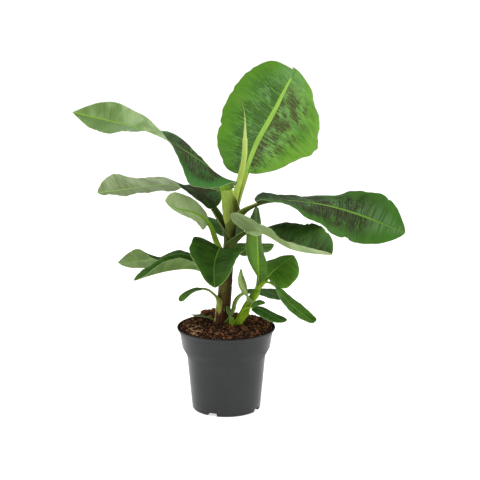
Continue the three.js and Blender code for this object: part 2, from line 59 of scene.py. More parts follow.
# A leaf leaves its stem at `at` and runs petiole + blade millimetres, turning evenly
# through its headings (degrees from +X about +Z) and rises (degrees above level).
# half is the half width at the widest place, wide the left half against the right,
# foot and tip shape the outline t^foot (1-t)^tip.  roll turns the blade about its
# midrib, fold lifts each half, curl bends it on towards its margin, sweep slants
# the side veins.
LEAVES = {
  "top": { "at": [12.2, 6.0, 348.3], "petiole": 79, "blade": 266, "half": 96, "wide": 0.96, "foot": 0.45, "tip": 0.45, "thick": 8.5, "neck": 6.2, "root": 10,
    "heading": [2, 58, 64, 66, 64], "rise": [80, 55, 31, 33, 27], "roll": [-10, 17, 26],
    "foldL": [2, 6, 13], "foldR": [12, -8, -18], "curlL": [-34, -25], "curlR": [-26, -41], "sweep": [-13, 17] },
  "upper_left": { "at": [5.3, -2.0, 348.3], "petiole": 52, "blade": 320, "half": 73, "wide": 0.96, "foot": 0.59, "tip": 1.0, "thick": 16, "neck": 16, "root": 4, "flat": 0.42, "lean": [6, 0, 0], "pinch": (1, 0.22, 0.55, 0.09),
    "heading": [-105, -154, -155, -162, -158], "rise": [98, 43, 32, 17, 16], "roll": [-5, -38, 8, 46, 94],
    "foldL": [42, 5, -4, 15, 47], "foldR": [-30, -6, 18, 20, 38], "curlL": [-18, -14], "curlR": [-37, -12], "sweep": [-12, 17] },
  "right": { "at": [12.3, -6.0, 335.0], "petiole": 59, "blade": 266, "half": 83, "wide": 1.04, "foot": 0.34, "tip": 0.72, "thick": 9.6, "neck": 5.6, "root": 10,
    "heading": [-11, 7, 4, -6, -21], "rise": [64, 4, -10, -19, -17], "roll": [-9, 18, 63],
    "foldL": [18, -6, 43], "foldR": [23, 7, 4], "curlL": [-20, -16], "curlR": [-21, -29], "sweep": [-11, 7] },
  "mid_left": { "at": [3.5, 4.0, 304.0], "petiole": 62, "blade": 250, "half": 47, "wide": 1.02, "foot": 0.43, "tip": 0.59, "thick": 9.6, "neck": 6, "root": 10,
    "heading": [168, 145, 154, 154, 158], "rise": [80, 38, -2, -13, -9], "roll": [-41, 13, 32, 76],
    "foldL": [47, 9, 44], "foldR": [22, 7, 45], "curlL": [-10, -11], "curlR": [-21, -12], "sweep": [-12, 18] },
  "lower_right": { "at": [5.2, -4.0, 280.9], "petiole": 62, "blade": 170, "half": 72, "wide": 0.91, "foot": 0.34, "tip": 0.5, "thick": 9, "neck": 4.8, "root": 10, "pinch": (1, 0.27, 0.3, 0.11),
    "heading": [-33, -40, -27, -31, -22], "rise": [75, 26, -26, -3, 3], "roll": [-12, 5, 22],
    "foldL": [8, 43, 49], "foldR": [44, 45, 52], "curlL": [-44, -18], "curlR": [-22, -17], "sweep": [-15, 19] },
  "small_left": { "at": [-3.5, -6.0, 281.4], "petiole": 69, "blade": 104, "half": 32, "wide": 1.02, "foot": 0.44, "tip": 0.45, "thick": 6, "neck": 4.2, "root": 10,
    "heading": [-144, -144, -142, -142, -155], "rise": [46, 70, 36, 17, 47], "roll": [95, 115, 112],
    "foldL": [45, 21, 3], "foldR": [12, -18, -34], "curlL": [-7, -26], "curlR": [-34, -54], "sweep": [-14, 18] },
  "front": { "at": [0, -8.0, 267.5], "petiole": 44, "blade": 121, "half": 49, "wide": 0.99, "foot": 0.4, "tip": 0.78, "thick": 6.5, "neck": 4.2, "root": 10,
    "heading": [-120, -98, -98, -78], "rise": [79, 6, -22, -64], "roll": [-13, 0, -10],
    "foldL": [10, 29, 22], "foldR": [21, 28, 33], "curlL": [-22, -17], "curlR": [-16, -11], "sweep": [-14, 17] },
  "low_left_front": { "at": [-12.3, -4.0, 243.0], "petiole": 46, "blade": 125, "half": 33, "wide": 1.0, "foot": 0.4, "tip": 0.54, "thick": 5, "neck": 3.8, "root": 12,
    "heading": [-151, -147, -147, -148], "rise": [30, 9, -3, -12], "roll": [-15, 9, 10],
    "foldL": [44, 57, 26], "foldR": [59, 48, 14], "curlL": [-23, -31], "curlR": [-17, -39], "sweep": [-14, 18] },
  "low_left_back": { "at": [-7.2, 10.0, 252.1], "petiole": 64, "blade": 155, "half": 33, "wide": 0.99, "foot": 0.42, "tip": 0.56, "thick": 5.5, "neck": 4, "root": 10,
    "heading": [160, 147, 149, 156], "rise": [16, -2, -13, -12], "roll": [-7, -3, 57, 48],
    "foldL": [15, 21, -10], "foldR": [1, 29, 18], "curlL": [-22, -35], "curlR": [-27, -18], "sweep": [-14, 18] },
  "back_right": { "at": [8.6, 8.0, 263.4], "petiole": 23, "blade": 100, "half": 22, "wide": 1.03, "foot": 0.39, "tip": 0.7, "thick": 4.8, "neck": 3.8, "root": 10,
    "heading": [55, 53, 45, 44], "rise": [53, 3, -10, 6], "roll": [17, 8, 22],
    "foldL": [13, 12, 14], "foldR": [-3, 5, -10], "curlL": [-25, -23], "curlR": [-35, -43], "sweep": [-14, 5] },
  "back": { "at": [6.9, 8.0, 292.3], "petiole": 22, "blade": 177, "half": 41, "wide": 0.99, "foot": 0.42, "tip": 0.5, "thick": 5.2, "neck": 4.2, "root": 10,
    "heading": [96, 92, 93, 94], "rise": [47, -6, -15, -28], "roll": [0, 5, 1],
    "foldL": [12, 32, 12], "foldR": [13, 25, 12], "curlL": [-20, -20], "curlR": [-21, -22], "sweep": [-15, 25] },
  "low_right_back": { "at": [11.5, 10.0, 167.1], "petiole": 49, "blade": 85, "half": 23, "wide": 1.02, "foot": 0.44, "tip": 0.45, "thick": 8.2, "neck": 3.4, "root": 22,
    "heading": [73, 39, 28, 33], "rise": [93, 15, -14, -27], "roll": [-4, 6, 18],
    "foldL": [12, 7, 34], "foldR": [16, 2, 14], "curlL": [-26, -15], "curlR": [-26, -26], "sweep": [-14, 27] },
  "low_left_arching": { "at": [-18.7, 0.0, 167.4], "petiole": 78, "blade": 50, "half": 12, "wide": 1.0, "foot": 0.41, "tip": 0.5, "thick": 5.6, "neck": 2.8, "root": 14,
    "heading": [-22, -125, -150, -113], "rise": [92, 55, -5, -33], "roll": [-5, 5, 3],
    "foldL": [7, 17, 24], "foldR": [13, 12, 21], "curlL": [-26, -18], "curlR": [-24, -20], "sweep": [-14, 18] },
  "sucker_upright": { "at": [54.2, -6.0, 212.8], "petiole": 14, "blade": 138, "half": 30, "wide": 1.0, "foot": 0.43, "tip": 0.49, "thick": 5.6, "neck": 3.6, "root": 8,
    "heading": [111, 103, 94, 87], "rise": [105, 85, 74, 60], "roll": [25, 30, 51],
    "foldL": [64, 14, 34], "foldR": [26, -19, 0], "curlL": [-3, -14], "curlR": [-25, -38], "sweep": [-13, 19] },
  "sucker_round": { "at": [54.2, -4.0, 215.9], "petiole": 29, "blade": 70, "half": 41, "wide": 0.98, "foot": 0.37, "tip": 0.61, "thick": 5.2, "neck": 3.2, "root": 8,
    "heading": [19, 37, 43, 44], "rise": [46, 37, 22, 20], "roll": [36, 11, 13],
    "foldL": [50, 4, 5], "foldR": [4, -5, -10], "curlL": [-9, -30], "curlR": [-32, -41], "sweep": [-12, 0] },
  "sucker_drooping": { "at": [54.1, -8.0, 215.2], "petiole": 37, "blade": 107, "half": 24, "wide": 1.01, "foot": 0.45, "tip": 0.5, "thick": 4.6, "neck": 3, "root": 8,
    "heading": [-20, -42, -24, -26], "rise": [83, -30, -36, -26], "roll": [-29, -1, 7],
    "foldL": [10, 12, 22], "foldR": [40, 10, 17], "curlL": [-26, -20], "curlR": [-12, -23], "sweep": [-10, 23] },
  "sucker_low": { "at": [23.6, -12.0, 167.2], "petiole": 44, "blade": 67, "half": 18, "wide": 0.99, "foot": 0.41, "tip": 0.51, "thick": 3.8, "neck": 2.8, "root": 8,
    "heading": [-27, -41, -28, -33], "rise": [80, 11, -22, -2], "roll": [4, 3, 6],
    "foldL": [9, 8, 17], "foldR": [5, 6, 11], "curlL": [-28, -24], "curlR": [-29, -27], "sweep": [-14, 8] },
  "sucker_folded": { "at": [38.6, -9.0, 177.3], "petiole": 18, "blade": 68, "half": 13, "wide": 1.01, "foot": 0.42, "tip": 0.51, "thick": 3, "neck": 2.2, "root": 4,
    "heading": [308, 238, 186, 147], "rise": [66, 71, 68, 92], "roll": [-10, -24, 8],
    "foldL": [31, -4, 29], "foldR": [40, 26, 19], "curlL": [-38, -39], "curlR": [-28, -40], "sweep": [-14, 18] },
  "sucker_bract": { "at": [32.0, -13.5, 176.5], "petiole": 17, "blade": 34, "half": 8, "wide": 1.0, "foot": 0.42, "tip": 0.5, "thick": 2.8, "neck": 1.8, "root": 4,
    "heading": [-24, -35, -36, -18], "rise": [44, 44, 23, -4], "roll": [14, 23, 4],
    "foldL": [25, 25, 8], "foldR": [12, 2, 4], "curlL": [-15, -24], "curlR": [-27, -31], "sweep": [-14, 18] },
  "shoot": { "at": [10, -16.4, 157], "petiole": 11, "blade": 25, "half": 9.5, "wide": 1.0, "foot": 0.42, "tip": 0.49, "neck": 2.6, "root": 0,
    "heading": [243, 230, 215, 205], "rise": [80, 78, 65, 52], "roll": [-6, -31, -20],
    "foldL": [13, 2, -7], "foldR": [19, 32, 12], "curlL": [-27, -37], "curlR": [-17, -20], "sweep": [-14, 18] },
  "low_resting": { "at": [-20.5, 9.0, 157.0], "petiole": 3, "blade": 52, "half": 7.5, "wide": 1.0, "foot": 0.42, "tip": 0.6, "neck": 2.6, "root": 0,
    "heading": [146, 142, 139, 140], "rise": [12, 3, -3, -6], "roll": [10, 4, -8],
    "foldL": [24, 14, 20], "foldR": [18, 16, 6], "curlL": [-20, -26], "curlR": [-16, -26], "sweep": [-14, 18] },
}

SPLIT = {"upper_left": ("base", "end"), "mid_left": ("base", "end")}
GREEN_STEM = ("sucker_upright", "sucker_round", "sucker_drooping", "sucker_low", "sucker_folded", "sucker_bract")


# ------------------------------------------------------------------ small maths
def seeded(name):
    return np.random.default_rng(zlib.crc32(name.encode()))


def smooth(a, b, x):
    t = np.clip((np.asarray(x, float) - a) / (b - a), 0, 1)
    return t * t * (3 - 2 * t)


def mix(a, b, t):
    return a + (b - a) * t


def along(knots, t):
    """Value at t of a smooth curve through evenly spaced numbers."""
    k = np.asarray(knots, float)
    t = np.asarray(t, float)
    n = len(k) - 1
    if n == 0:
        return np.full_like(t, k[0])
    x = np.clip(t, 0, 1) * n
    i = np.minimum(np.floor(x).astype(int), n - 1)
    f = x - i
    p1, p2 = k[i], k[i + 1]
    p0 = np.where(i > 0, k[np.maximum(i - 1, 0)], 2 * p1 - p2)
    p3 = np.where(i < n - 1, k[np.minimum(i + 2, n)], 2 * p2 - p1)
    return 0.5 * (2 * p1 + (p2 - p0) * f + (2 * p0 - 5 * p1 + 4 * p2 - p3) * f * f + (3 * p1 - p0 - 3 * p2 + p3) * f ** 3)


def bearing(heading, rise):
    """Direction of travel and upper-face normal."""
    h, r = np.radians(heading), np.radians(rise)
    H = np.stack([np.cos(h), np.sin(h), 0 * h], -1)
    Z = np.array([0, 0, 1.0])
    c, s = np.cos(r)[..., None], np.sin(r)[..., None]
    return H * c + Z * s, -H * s + Z * c


STEPS = 60


def run_of(L):
    """Points along petiole and blade, a point for any share s of the whole."""
    total = L["petiole"] + L["blade"]
    mid = (np.arange(STEPS) + 0.5) / STEPS
    T, _ = bearing(along(L["heading"], mid), along(L["rise"], mid))
    P = np.concatenate([[np.array(L["at"], float)], np.array(L["at"], float) + np.cumsum(T * (total / STEPS), 0)])
    grid = np.linspace(0, 1, STEPS + 1)

    def at(s):
        s = np.asarray(s, float)
        T, N = bearing(along(L["heading"], s), along(L["rise"], s))
        x = np.stack([np.interp(s, grid, P[:, k]) for k in range(3)], -1)
        x = x + T * (np.minimum(s, 0) * total)[..., None]
        if "lean" in L:
            # the foot of the stalk stands a little to one side
            x = x + np.array(L["lean"], float) * (np.clip(1 - np.maximum(s, 0) * total / L["petiole"], 0, 1) ** 2)[..., None]
        return x, T, N
    return at


def outline(t, a, b):
    t = np.clip(t, 0, 1)
    m = a / (a + b)
    return t ** a * (1 - t) ** b / (m ** a * (1 - m) ** b)


def ripple(rng, n, low, high):
    """Smooth random function of one number, about unit size, wavelengths low to high."""
    wave = rng.uniform(low, high, n)
    phase = rng.uniform(0, 2 * math.pi, n)
    return lambda x: sum(np.sin(2 * math.pi * np.asarray(x, float) / w + p) for w, p in zip(wave, phase)) * math.sqrt(2 / n) * 0.7


def ripple2(rng, n, low, high):
    wave = rng.uniform(low, high, n)
    phase = rng.uniform(0, 2 * math.pi, n)
    turn = rng.uniform(0, 2 * math.pi, n)
    return lambda x, y: sum(np.sin(2 * math.pi * (x * math.cos(a) + y * math.sin(a)) / w + p) for w, p, a in zip(wave, phase, turn)) * math.sqrt(2 / n) * 0.7


def unit(v):
    return v / np.maximum(np.linalg.norm(v, axis=-1, keepdims=True), 1e-12)


# ------------------------------------------------------------------ mesh making
def mesh_object(name, verts, faces, mats, face_mat=None, uv=None, bake=None, floats=None, smooth_faces=True, sharp=None):
    """verts (n,3) in mm, faces a list of (m,k) index arrays or one array; uv and bake per loop."""
    groups = faces if isinstance(faces, list) else [faces]
    groups = [np.asarray(f, np.int32) for f in groups if len(f)]
    me = bpy.data.meshes.new(name)
    loops = np.concatenate([f.ravel() for f in groups])
    totals = np.concatenate([np.full(len(f), f.shape[1], np.int32) for f in groups])
    starts = np.concatenate([[0], np.cumsum(totals)[:-1]]).astype(np.int32)
    me.vertices.add(len(verts))
    me.vertices.foreach_set("co", (np.asarray(verts, np.float32) * MM).ravel())
    me.loops.add(len(loops))
    me.loops.foreach_set("vertex_index", loops)
    me.polygons.add(len(totals))
    me.polygons.foreach_set("loop_start", starts)
    me.polygons.foreach_set("loop_total", totals)
    if smooth_faces:
        me.polygons.foreach_set("use_smooth", np.ones(len(totals), bool))
    for m in mats:
        me.materials.append(m)
    if face_mat is not None:
        me.polygons.foreach_set("material_index", np.asarray(face_mat, np.int32))
    for label, values in (("leaf", uv), ("OFBake", bake)):
        if values is not None:
            layer = me.uv_layers.new(name=label)
            layer.data.foreach_set("uv", np.asarray(values, np.float32).ravel())
    for label, values in (floats or {}).items():
        attribute = me.attributes.new(label, "FLOAT", "POINT")
        attribute.data.foreach_set("value", np.asarray(values, np.float32).ravel())
    me.validate()
    me.update()
    if sharp is not None:
        me.set_sharp_from_angle(angle=math.radians(sharp))
    ob = bpy.data.objects.new(name, me)
    bpy.context.scene.collection.objects.link(ob)
    return ob


def place(ob, slot, *nodes):
    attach(ob, "root")
    if nodes:
        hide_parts(*nodes)
    return ob


# ------------------------------------------------------------------ materials
class Look:
    """A node material with a Principled shader, built from small node helpers."""

    def __init__(self, name):
        self.mat = bpy.data.materials.new(name)
        self.mat.use_nodes = True
        self.nt = self.mat.node_tree
        self.nt.nodes.clear()
        self.out = self.nt.nodes.new("ShaderNodeOutputMaterial")
        self.bsdf = self.nt.nodes.new("ShaderNodeBsdfPrincipled")
        self.nt.links.new(self.bsdf.outputs[0], self.out.inputs[0])

    def _in(self, socket, value):
        if isinstance(value, bpy.types.NodeSocket):
            self.nt.links.new(value, socket)
        elif value is not None:
            if isinstance(value, (tuple, list)) and len(value) == 3 and socket.type == "RGBA":
                value = (*value, 1.0)
            socket.default_value = value

    def m(self, op, a, b=None, c=None, clamp=False):
        n = self.nt.nodes.new("ShaderNodeMath")
        n.operation = op
        n.use_clamp = clamp
        for i, v in enumerate((a, b, c)):
            if v is not None:
                self._in(n.inputs[i], v)
        return n.outputs[0]

    def step(self, x, lo, hi, a=0.0, b=1.0):
        n = self.nt.nodes.new("ShaderNodeMapRange")
        n.interpolation_type = "SMOOTHSTEP"
        for i, v in enumerate((x, lo, hi, a, b)):
            self._in(n.inputs[i], v)
        return n.outputs[0]

    def mix(self, fac, a, b, blend="MIX"):
        n = self.nt.nodes.new("ShaderNodeMix")
        n.data_type = "RGBA"
        n.blend_type = blend
        self._in(n.inputs[0], fac)
        self._in(n.inputs[6], a)
        self._in(n.inputs[7], b)
        return n.outputs[2]

    def attr(self, name):
        n = self.nt.nodes.new("ShaderNodeAttribute")
        n.attribute_name = name
        return n.outputs["Fac"]

    def uv(self, name="leaf"):
        n = self.nt.nodes.new("ShaderNodeUVMap")
        n.uv_map = name
        s = self.nt.nodes.new("ShaderNodeSeparateXYZ")
        self.nt.links.new(n.outputs[0], s.inputs[0])
        return s.outputs[0], s.outputs[1]

    def here(self):
        n = self.nt.nodes.new("ShaderNodeTexCoord")
        return n.outputs["Object"]

    def vec(self, x, y, z=0.0):
        n = self.nt.nodes.new("ShaderNodeCombineXYZ")
        for i, v in enumerate((x, y, z)):
            self._in(n.inputs[i], v)
        return n.outputs[0]

    def noise(self, vector, scale=1.0, detail=2.0, rough=0.5, distort=0.0):
        n = self.nt.nodes.new("ShaderNodeTexNoise")
        self._in(n.inputs["Vector"], vector)
        self._in(n.inputs["Scale"], scale)
        self._in(n.inputs["Detail"], detail)
        self._in(n.inputs["Roughness"], rough)
        self._in(n.inputs["Distortion"], distort)
        return n.outputs[0]

    def voronoi(self, vector, scale=1.0):
        n = self.nt.nodes.new("ShaderNodeTexVoronoi")
        self._in(n.inputs["Vector"], vector)
        self._in(n.inputs["Scale"], scale)
        return n.outputs[0]

    def bump(self, height, distance, strength=1.0):
        n = self.nt.nodes.new("ShaderNodeBump")
        n.inputs["Strength"].default_value = strength
        n.inputs["Distance"].default_value = distance
        self.nt.links.new(height, n.inputs["Height"])
        self.nt.links.new(n.outputs[0], self.bsdf.inputs["Normal"])

    def finish(self, color, rough, spec=0.5, **more):
        self._in(self.bsdf.inputs["Base Color"], color)
        self._in(self.bsdf.inputs["Roughness"], rough)
        self.bsdf.inputs["Specular IOR Level"].default_value = spec
        for k, v in more.items():
            self.bsdf.inputs[k.replace("_", " ")].default_value = v
        return self.mat


def veins(k, s, w, seed, shear=0.0):
    """Shared coordinates of a blade: s, w in mm; fine streaks, thin lines, broad bands."""
    warp = k.noise(k.vec(k.m("MULTIPLY", s, 0.05), k.m("MULTIPLY", w, 0.03), seed), 1.0, 1.0)
    q = k.m("ADD", s, k.m("MULTIPLY", warp, 3.0))
    if shear:
        q = k.m("ADD", q, k.m("MULTIPLY", w, shear))
    fine = k.noise(k.vec(k.m("MULTIPLY", q, 0.85), k.m("MULTIPLY", w, 0.035), seed + 1.7), 1.0, 3.0, 0.65)
    side = k.m("SIGN", w)
    lines = k.noise(k.vec(k.m("MULTIPLY", q, 0.42), k.m("ADD", k.m("MULTIPLY", w, 0.008), k.m("MULTIPLY", side, 5.0)), seed + 4.1), 1.0, 1.0, 0.5)
    broad = k.noise(k.vec(k.m("MULTIPLY", q, 0.055), k.m("ADD", k.m("MULTIPLY", w, 0.022), k.m("MULTIPLY", side, 9.0)), seed + 8.3), 1.0, 2.0, 0.55)
    return q, fine, lines, broad, side


def top_look(name, dark, light, margin, rib, blotch=0.0, reach=0.6, sheen=0.0, seed=0.0, rough=0.50, line=(0.30, 0.40, 0.16), stain=(0.034, 0.016, 0.010), other=None, left=None, rib_end=None, until=None, fresh=None, pale=0.42, one_side=0.0, shear=0.0):
    """Upper face of a blade."""
    k = Look(name)
    us, uw = k.uv()
    s, w = k.m("MULTIPLY", us, 100.0), k.m("MULTIPLY", uw, 100.0)
    share, mid, rim = k.attr("share"), k.attr("mid"), k.attr("rim")
    q, fine, lines, broad, side = veins(k, s, w, seed, shear)
    c = k.mix(k.step(broad, 0.36, 0.66), dark, light)
    c = k.mix(k.m("MULTIPLY", k.step(fine, 0.38, 0.72), 0.55), c, tuple(min(1, x * 1.45) for x in light))
    c = k.mix(k.m("MULTIPLY", k.step(fine, 0.50, 0.26), 0.60), c, tuple(x * 0.55 for x in dark))
    if left is not None:
        c = k.mix(k.m("MULTIPLY", k.step(side, 0.1, -0.1), k.step(share, 1.0, 0.35, 0.45, 0.80)), c, left)
    # brighter, yellower towards the margin
    if fresh is not None:
        c = k.mix(k.m("MULTIPLY", k.step(s, until - 25.0, until + 35.0), 0.75), c, fresh)
    near = k.step(k.m("ADD", share, k.m("MULTIPLY", k.m("SUBTRACT", broad, 0.5), 0.5)), 0.55, 1.0)
    edge = margin if left is None else k.mix(k.step(side, -0.1, 0.1), tuple(x * f for x, f in zip(margin, (0.54, 0.66, 0.42))), margin)
    c = k.mix(k.m("MULTIPLY", near, 0.80), c, edge)
    if sheen:
        c = k.mix(k.m("MULTIPLY", k.m("MULTIPLY", k.step(share, 0.72, 0.15), k.step(lines, 0.36, 0.62)), sheen), c, (0.135, 0.235, 0.110))
    if blotch:
        # maroon streaks that follow the side veins, mostly near the midrib
        spots = k.noise(k.vec(k.m("MULTIPLY", q, 0.40), k.m("ADD", k.m("MULTIPLY", w, 0.085), k.m("MULTIPLY", side, 3.0)), seed + 12.9), 1.0, 3.0, 0.62)
        clouds = k.noise(k.vec(k.m("MULTIPLY", q, 0.050), k.m("ADD", k.m("MULTIPLY", w, 0.045), k.m("MULTIPLY", side, 7.0)), seed + 17.3), 1.0, 1.5, 0.5)
        bias = k.m("ADD", k.m("MULTIPLY", k.step(share, reach, 0.05), 0.10), k.m("MULTIPLY", side, one_side))
        level = k.m("ADD", k.m("ADD", k.m("MULTIPLY", spots, 0.80), k.m("MULTIPLY", clouds, 0.62)), bias)
        cut = 0.92 - 0.16 * blotch
        amount = k.m("MULTIPLY", k.step(level, cut, cut + 0.05), k.step(share, reach + 0.25, reach - 0.05))
        amount = k.m("MULTIPLY", amount, k.step(fine, 0.70, 0.46, 0.30, 1.0))
        if until is not None:
            amount = k.m("MULTIPLY", amount, k.step(k.m("ADD", s, k.m("MULTIPLY", k.m("SUBTRACT", clouds, 0.5), 90.0)), until, until - 45.0))
        tone = stain if other is None else k.mix(k.step(side, -0.1, 0.1), other, stain)
        c = k.mix(k.m("MULTIPLY", amount, 0.88), c, tone)
    # thin pale side veins
    thin = k.m("MULTIPLY", k.step(k.m("ABSOLUTE", k.m("SUBTRACT", lines, 0.5)), 0.022, 0.0), k.step(share, 0.9, 0.25, 0.10, pale))
    c = k.mix(thin, c, tuple(min(1, x * 1.7 + 0.012) for x in light))
    # midrib and pale rim
    groove = k.m("MULTIPLY", k.step(mid, 1.55, 1.0), 0.35)
    c = k.mix(groove, c, tuple(x * 0.45 for x in dark))
    ribtone = k.mix(k.step(k.noise(k.vec(k.m("MULTIPLY", s, 0.02), k.m("MULTIPLY", w, 0.9), seed), 1.0, 2.0), 0.35, 0.7), tuple(x * 0.82 for x in rib), tuple(min(1, x * 1.18) for x in rib))
    ribmask = k.step(mid, 1.08, 0.86)
    if rib_end is not None:
        ribmask = k.m("MULTIPLY", ribmask, k.step(s, rib_end, rib_end * 0.95))
    c = k.mix(ribmask, c, ribtone)
    c = k.mix(k.m("MULTIPLY", k.step(rim, 0.9, 0.35), 0.75), c, line)
    k.bump(k.m("ADD", fine, k.m("MULTIPLY", lines, 0.6)), 0.0006, 0.35)
    r = k.m("ADD", k.m("MULTIPLY", fine, 0.16), rough - 0.08)
    return k.finish(c, r, 0.09)


def under_look(name, dark, light, rib, seed=0.0, rough=0.55, line=(0.46, 0.52, 0.30), shade=None, painted_sheen=0.0):
    """Lower face of a blade: dull, pale and waxy, with the midrib standing out; painted shade can darken one half,
    painted sheen can streak the other.
    """
    k = Look(name)
    us, uw = k.uv()
    s, w = k.m("MULTIPLY", us, 100.0), k.m("MULTIPLY", uw, 100.0)
    share, mid, rim = k.attr("share"), k.attr("mid"), k.attr("rim")
    q, fine, lines, broad, side = veins(k, s, w, seed + 30.0)
    c = k.mix(k.step(broad, 0.34, 0.68), dark, light)
    c = k.mix(k.m("MULTIPLY", k.step(fine, 0.40, 0.74), 0.35), c, tuple(min(1, x * 1.22) for x in light))
    c = k.mix(k.m("MULTIPLY", k.step(lines, 0.44, 0.30), 0.35), c, tuple(x * 0.72 for x in dark))
    if shade is not None:
        # painted shade: the half that hangs lower is darkened to a deeper green; the other half stays pale
        c = k.mix(k.m("MULTIPLY", k.step(side, -0.1, 0.1), k.step(share, 1.0, 0.1, 0.30, 0.75)), c, shade)
    # painted sheen: pale whitish streaks on the other half, where it catches the light
    if painted_sheen:
        sheen_mask = k.m("MULTIPLY", k.step(broad, 0.38, 0.74), k.m("MULTIPLY", k.step(side, 0.1, -0.1), k.step(fine, 0.35, 0.65, 0.45, 1.0)))
        c = k.mix(k.m("MULTIPLY", sheen_mask, painted_sheen), c, (0.300, 0.380, 0.215))
    c = k.mix(k.step(mid, 1.05, 0.82), c, k.mix(k.step(fine, 0.4, 0.65), tuple(x * 0.88 for x in rib), rib))
    c = k.mix(k.m("MULTIPLY", k.step(rim, 0.9, 0.3), 0.7), c, line)
    k.bump(k.m("ADD", fine, lines), 0.0006, 0.3)
    return k.finish(c, k.m("ADD", k.m("MULTIPLY", fine, 0.15), rough - 0.07), 0.12)


def stalk_look(name, low, high, edge, streak, seed=0.0, rough=0.46, foot=None, foot_at=0.35, side_shade_tone=None, side_shade_until=0.6, tip=None, spec=0.06, side_shade_from=(-0.003, 0.008)):
    """Petioles, sheaths and stems: streaks that run lengthwise, pale dry edges."""
    k = Look(name)
    us, uw = k.uv()
    s, w = k.m("MULTIPLY", us, 100.0), k.m("MULTIPLY", uw, 100.0)
    run, lip = k.attr("run"), k.attr("lip")
    long = k.noise(k.vec(k.m("MULTIPLY", s, 0.018), k.m("MULTIPLY", w, 0.55), seed), 1.0, 3.0, 0.6)
    hair = k.noise(k.vec(k.m("MULTIPLY", s, 0.05), k.m("MULTIPLY", w, 2.2), seed + 5.0), 1.0, 2.0, 0.6)
    cloud = k.noise(k.vec(k.m("MULTIPLY", s, 0.06), k.m("MULTIPLY", w, 0.12), seed + 9.0), 1.0, 2.0)
    t = k.m("ADD", run, k.m("MULTIPLY", k.m("SUBTRACT", cloud, 0.5), 0.35))
    c = k.mix(k.step(t, 0.15, 0.85), low, high)
    if foot is not None:
        c = k.mix(k.step(t, foot_at, max(foot_at - 0.3, 0.0)), c, foot)
    c = k.mix(k.m("MULTIPLY", k.step(long, 0.46, 0.70), 0.75), c, streak)
    c = k.mix(k.m("MULTIPLY", k.step(hair, 0.60, 0.34), 0.35), c, tuple(x * 0.5 for x in low))
    if side_shade_tone is not None:
        # painted shade: the side away from the window is darkened on the lower part of the stalk
        here = k.nt.nodes.new("ShaderNodeSeparateXYZ")
        k.nt.links.new(k.here(), here.inputs[0])
        x = k.m("SUBTRACT", here.outputs[0], k.m("ADD", k.m("MULTIPLY", here.outputs[2], 0.095), -0.0223))
        across = k.step(k.m("ADD", x, k.m("MULTIPLY", k.m("SUBTRACT", long, 0.5), 0.02)), *side_shade_from)
        c = k.mix(k.m("MULTIPLY", k.m("MULTIPLY", across, k.step(run, side_shade_until, side_shade_until - 0.2)), 0.80), c, side_shade_tone)
    if tip is not None:
        c = k.mix(k.step(run, 0.80, 0.96), c, tip)
    c = k.mix(k.m("MULTIPLY", k.step(lip, 0.84, 0.97), 0.85), c, edge)
    k.bump(k.m("ADD", hair, long), 0.0008, 0.35)
    return k.finish(c, k.m("ADD", k.m("MULTIPLY", hair, 0.16), rough - 0.08), spec)


# ------------------------------------------------------------------ blades
def rows_of(length, pitch):
    """Shares of the blade's length: even rows, closer at both ends."""
    e = min(0.08, 9.0 / length)
    n = max(4, int(round(e * length / pitch * 2)))
    y = np.linspace(0, 1, n + 1)
    tip = 1 - e + e * (1 - (1 - y) ** 2)
    foot = e * y ** 2
    body = np.linspace(e, 1 - e, max(6, int(round((1 - 2 * e) * length / pitch))) + 1)
    return np.concatenate([foot, body[1:-1], tip])


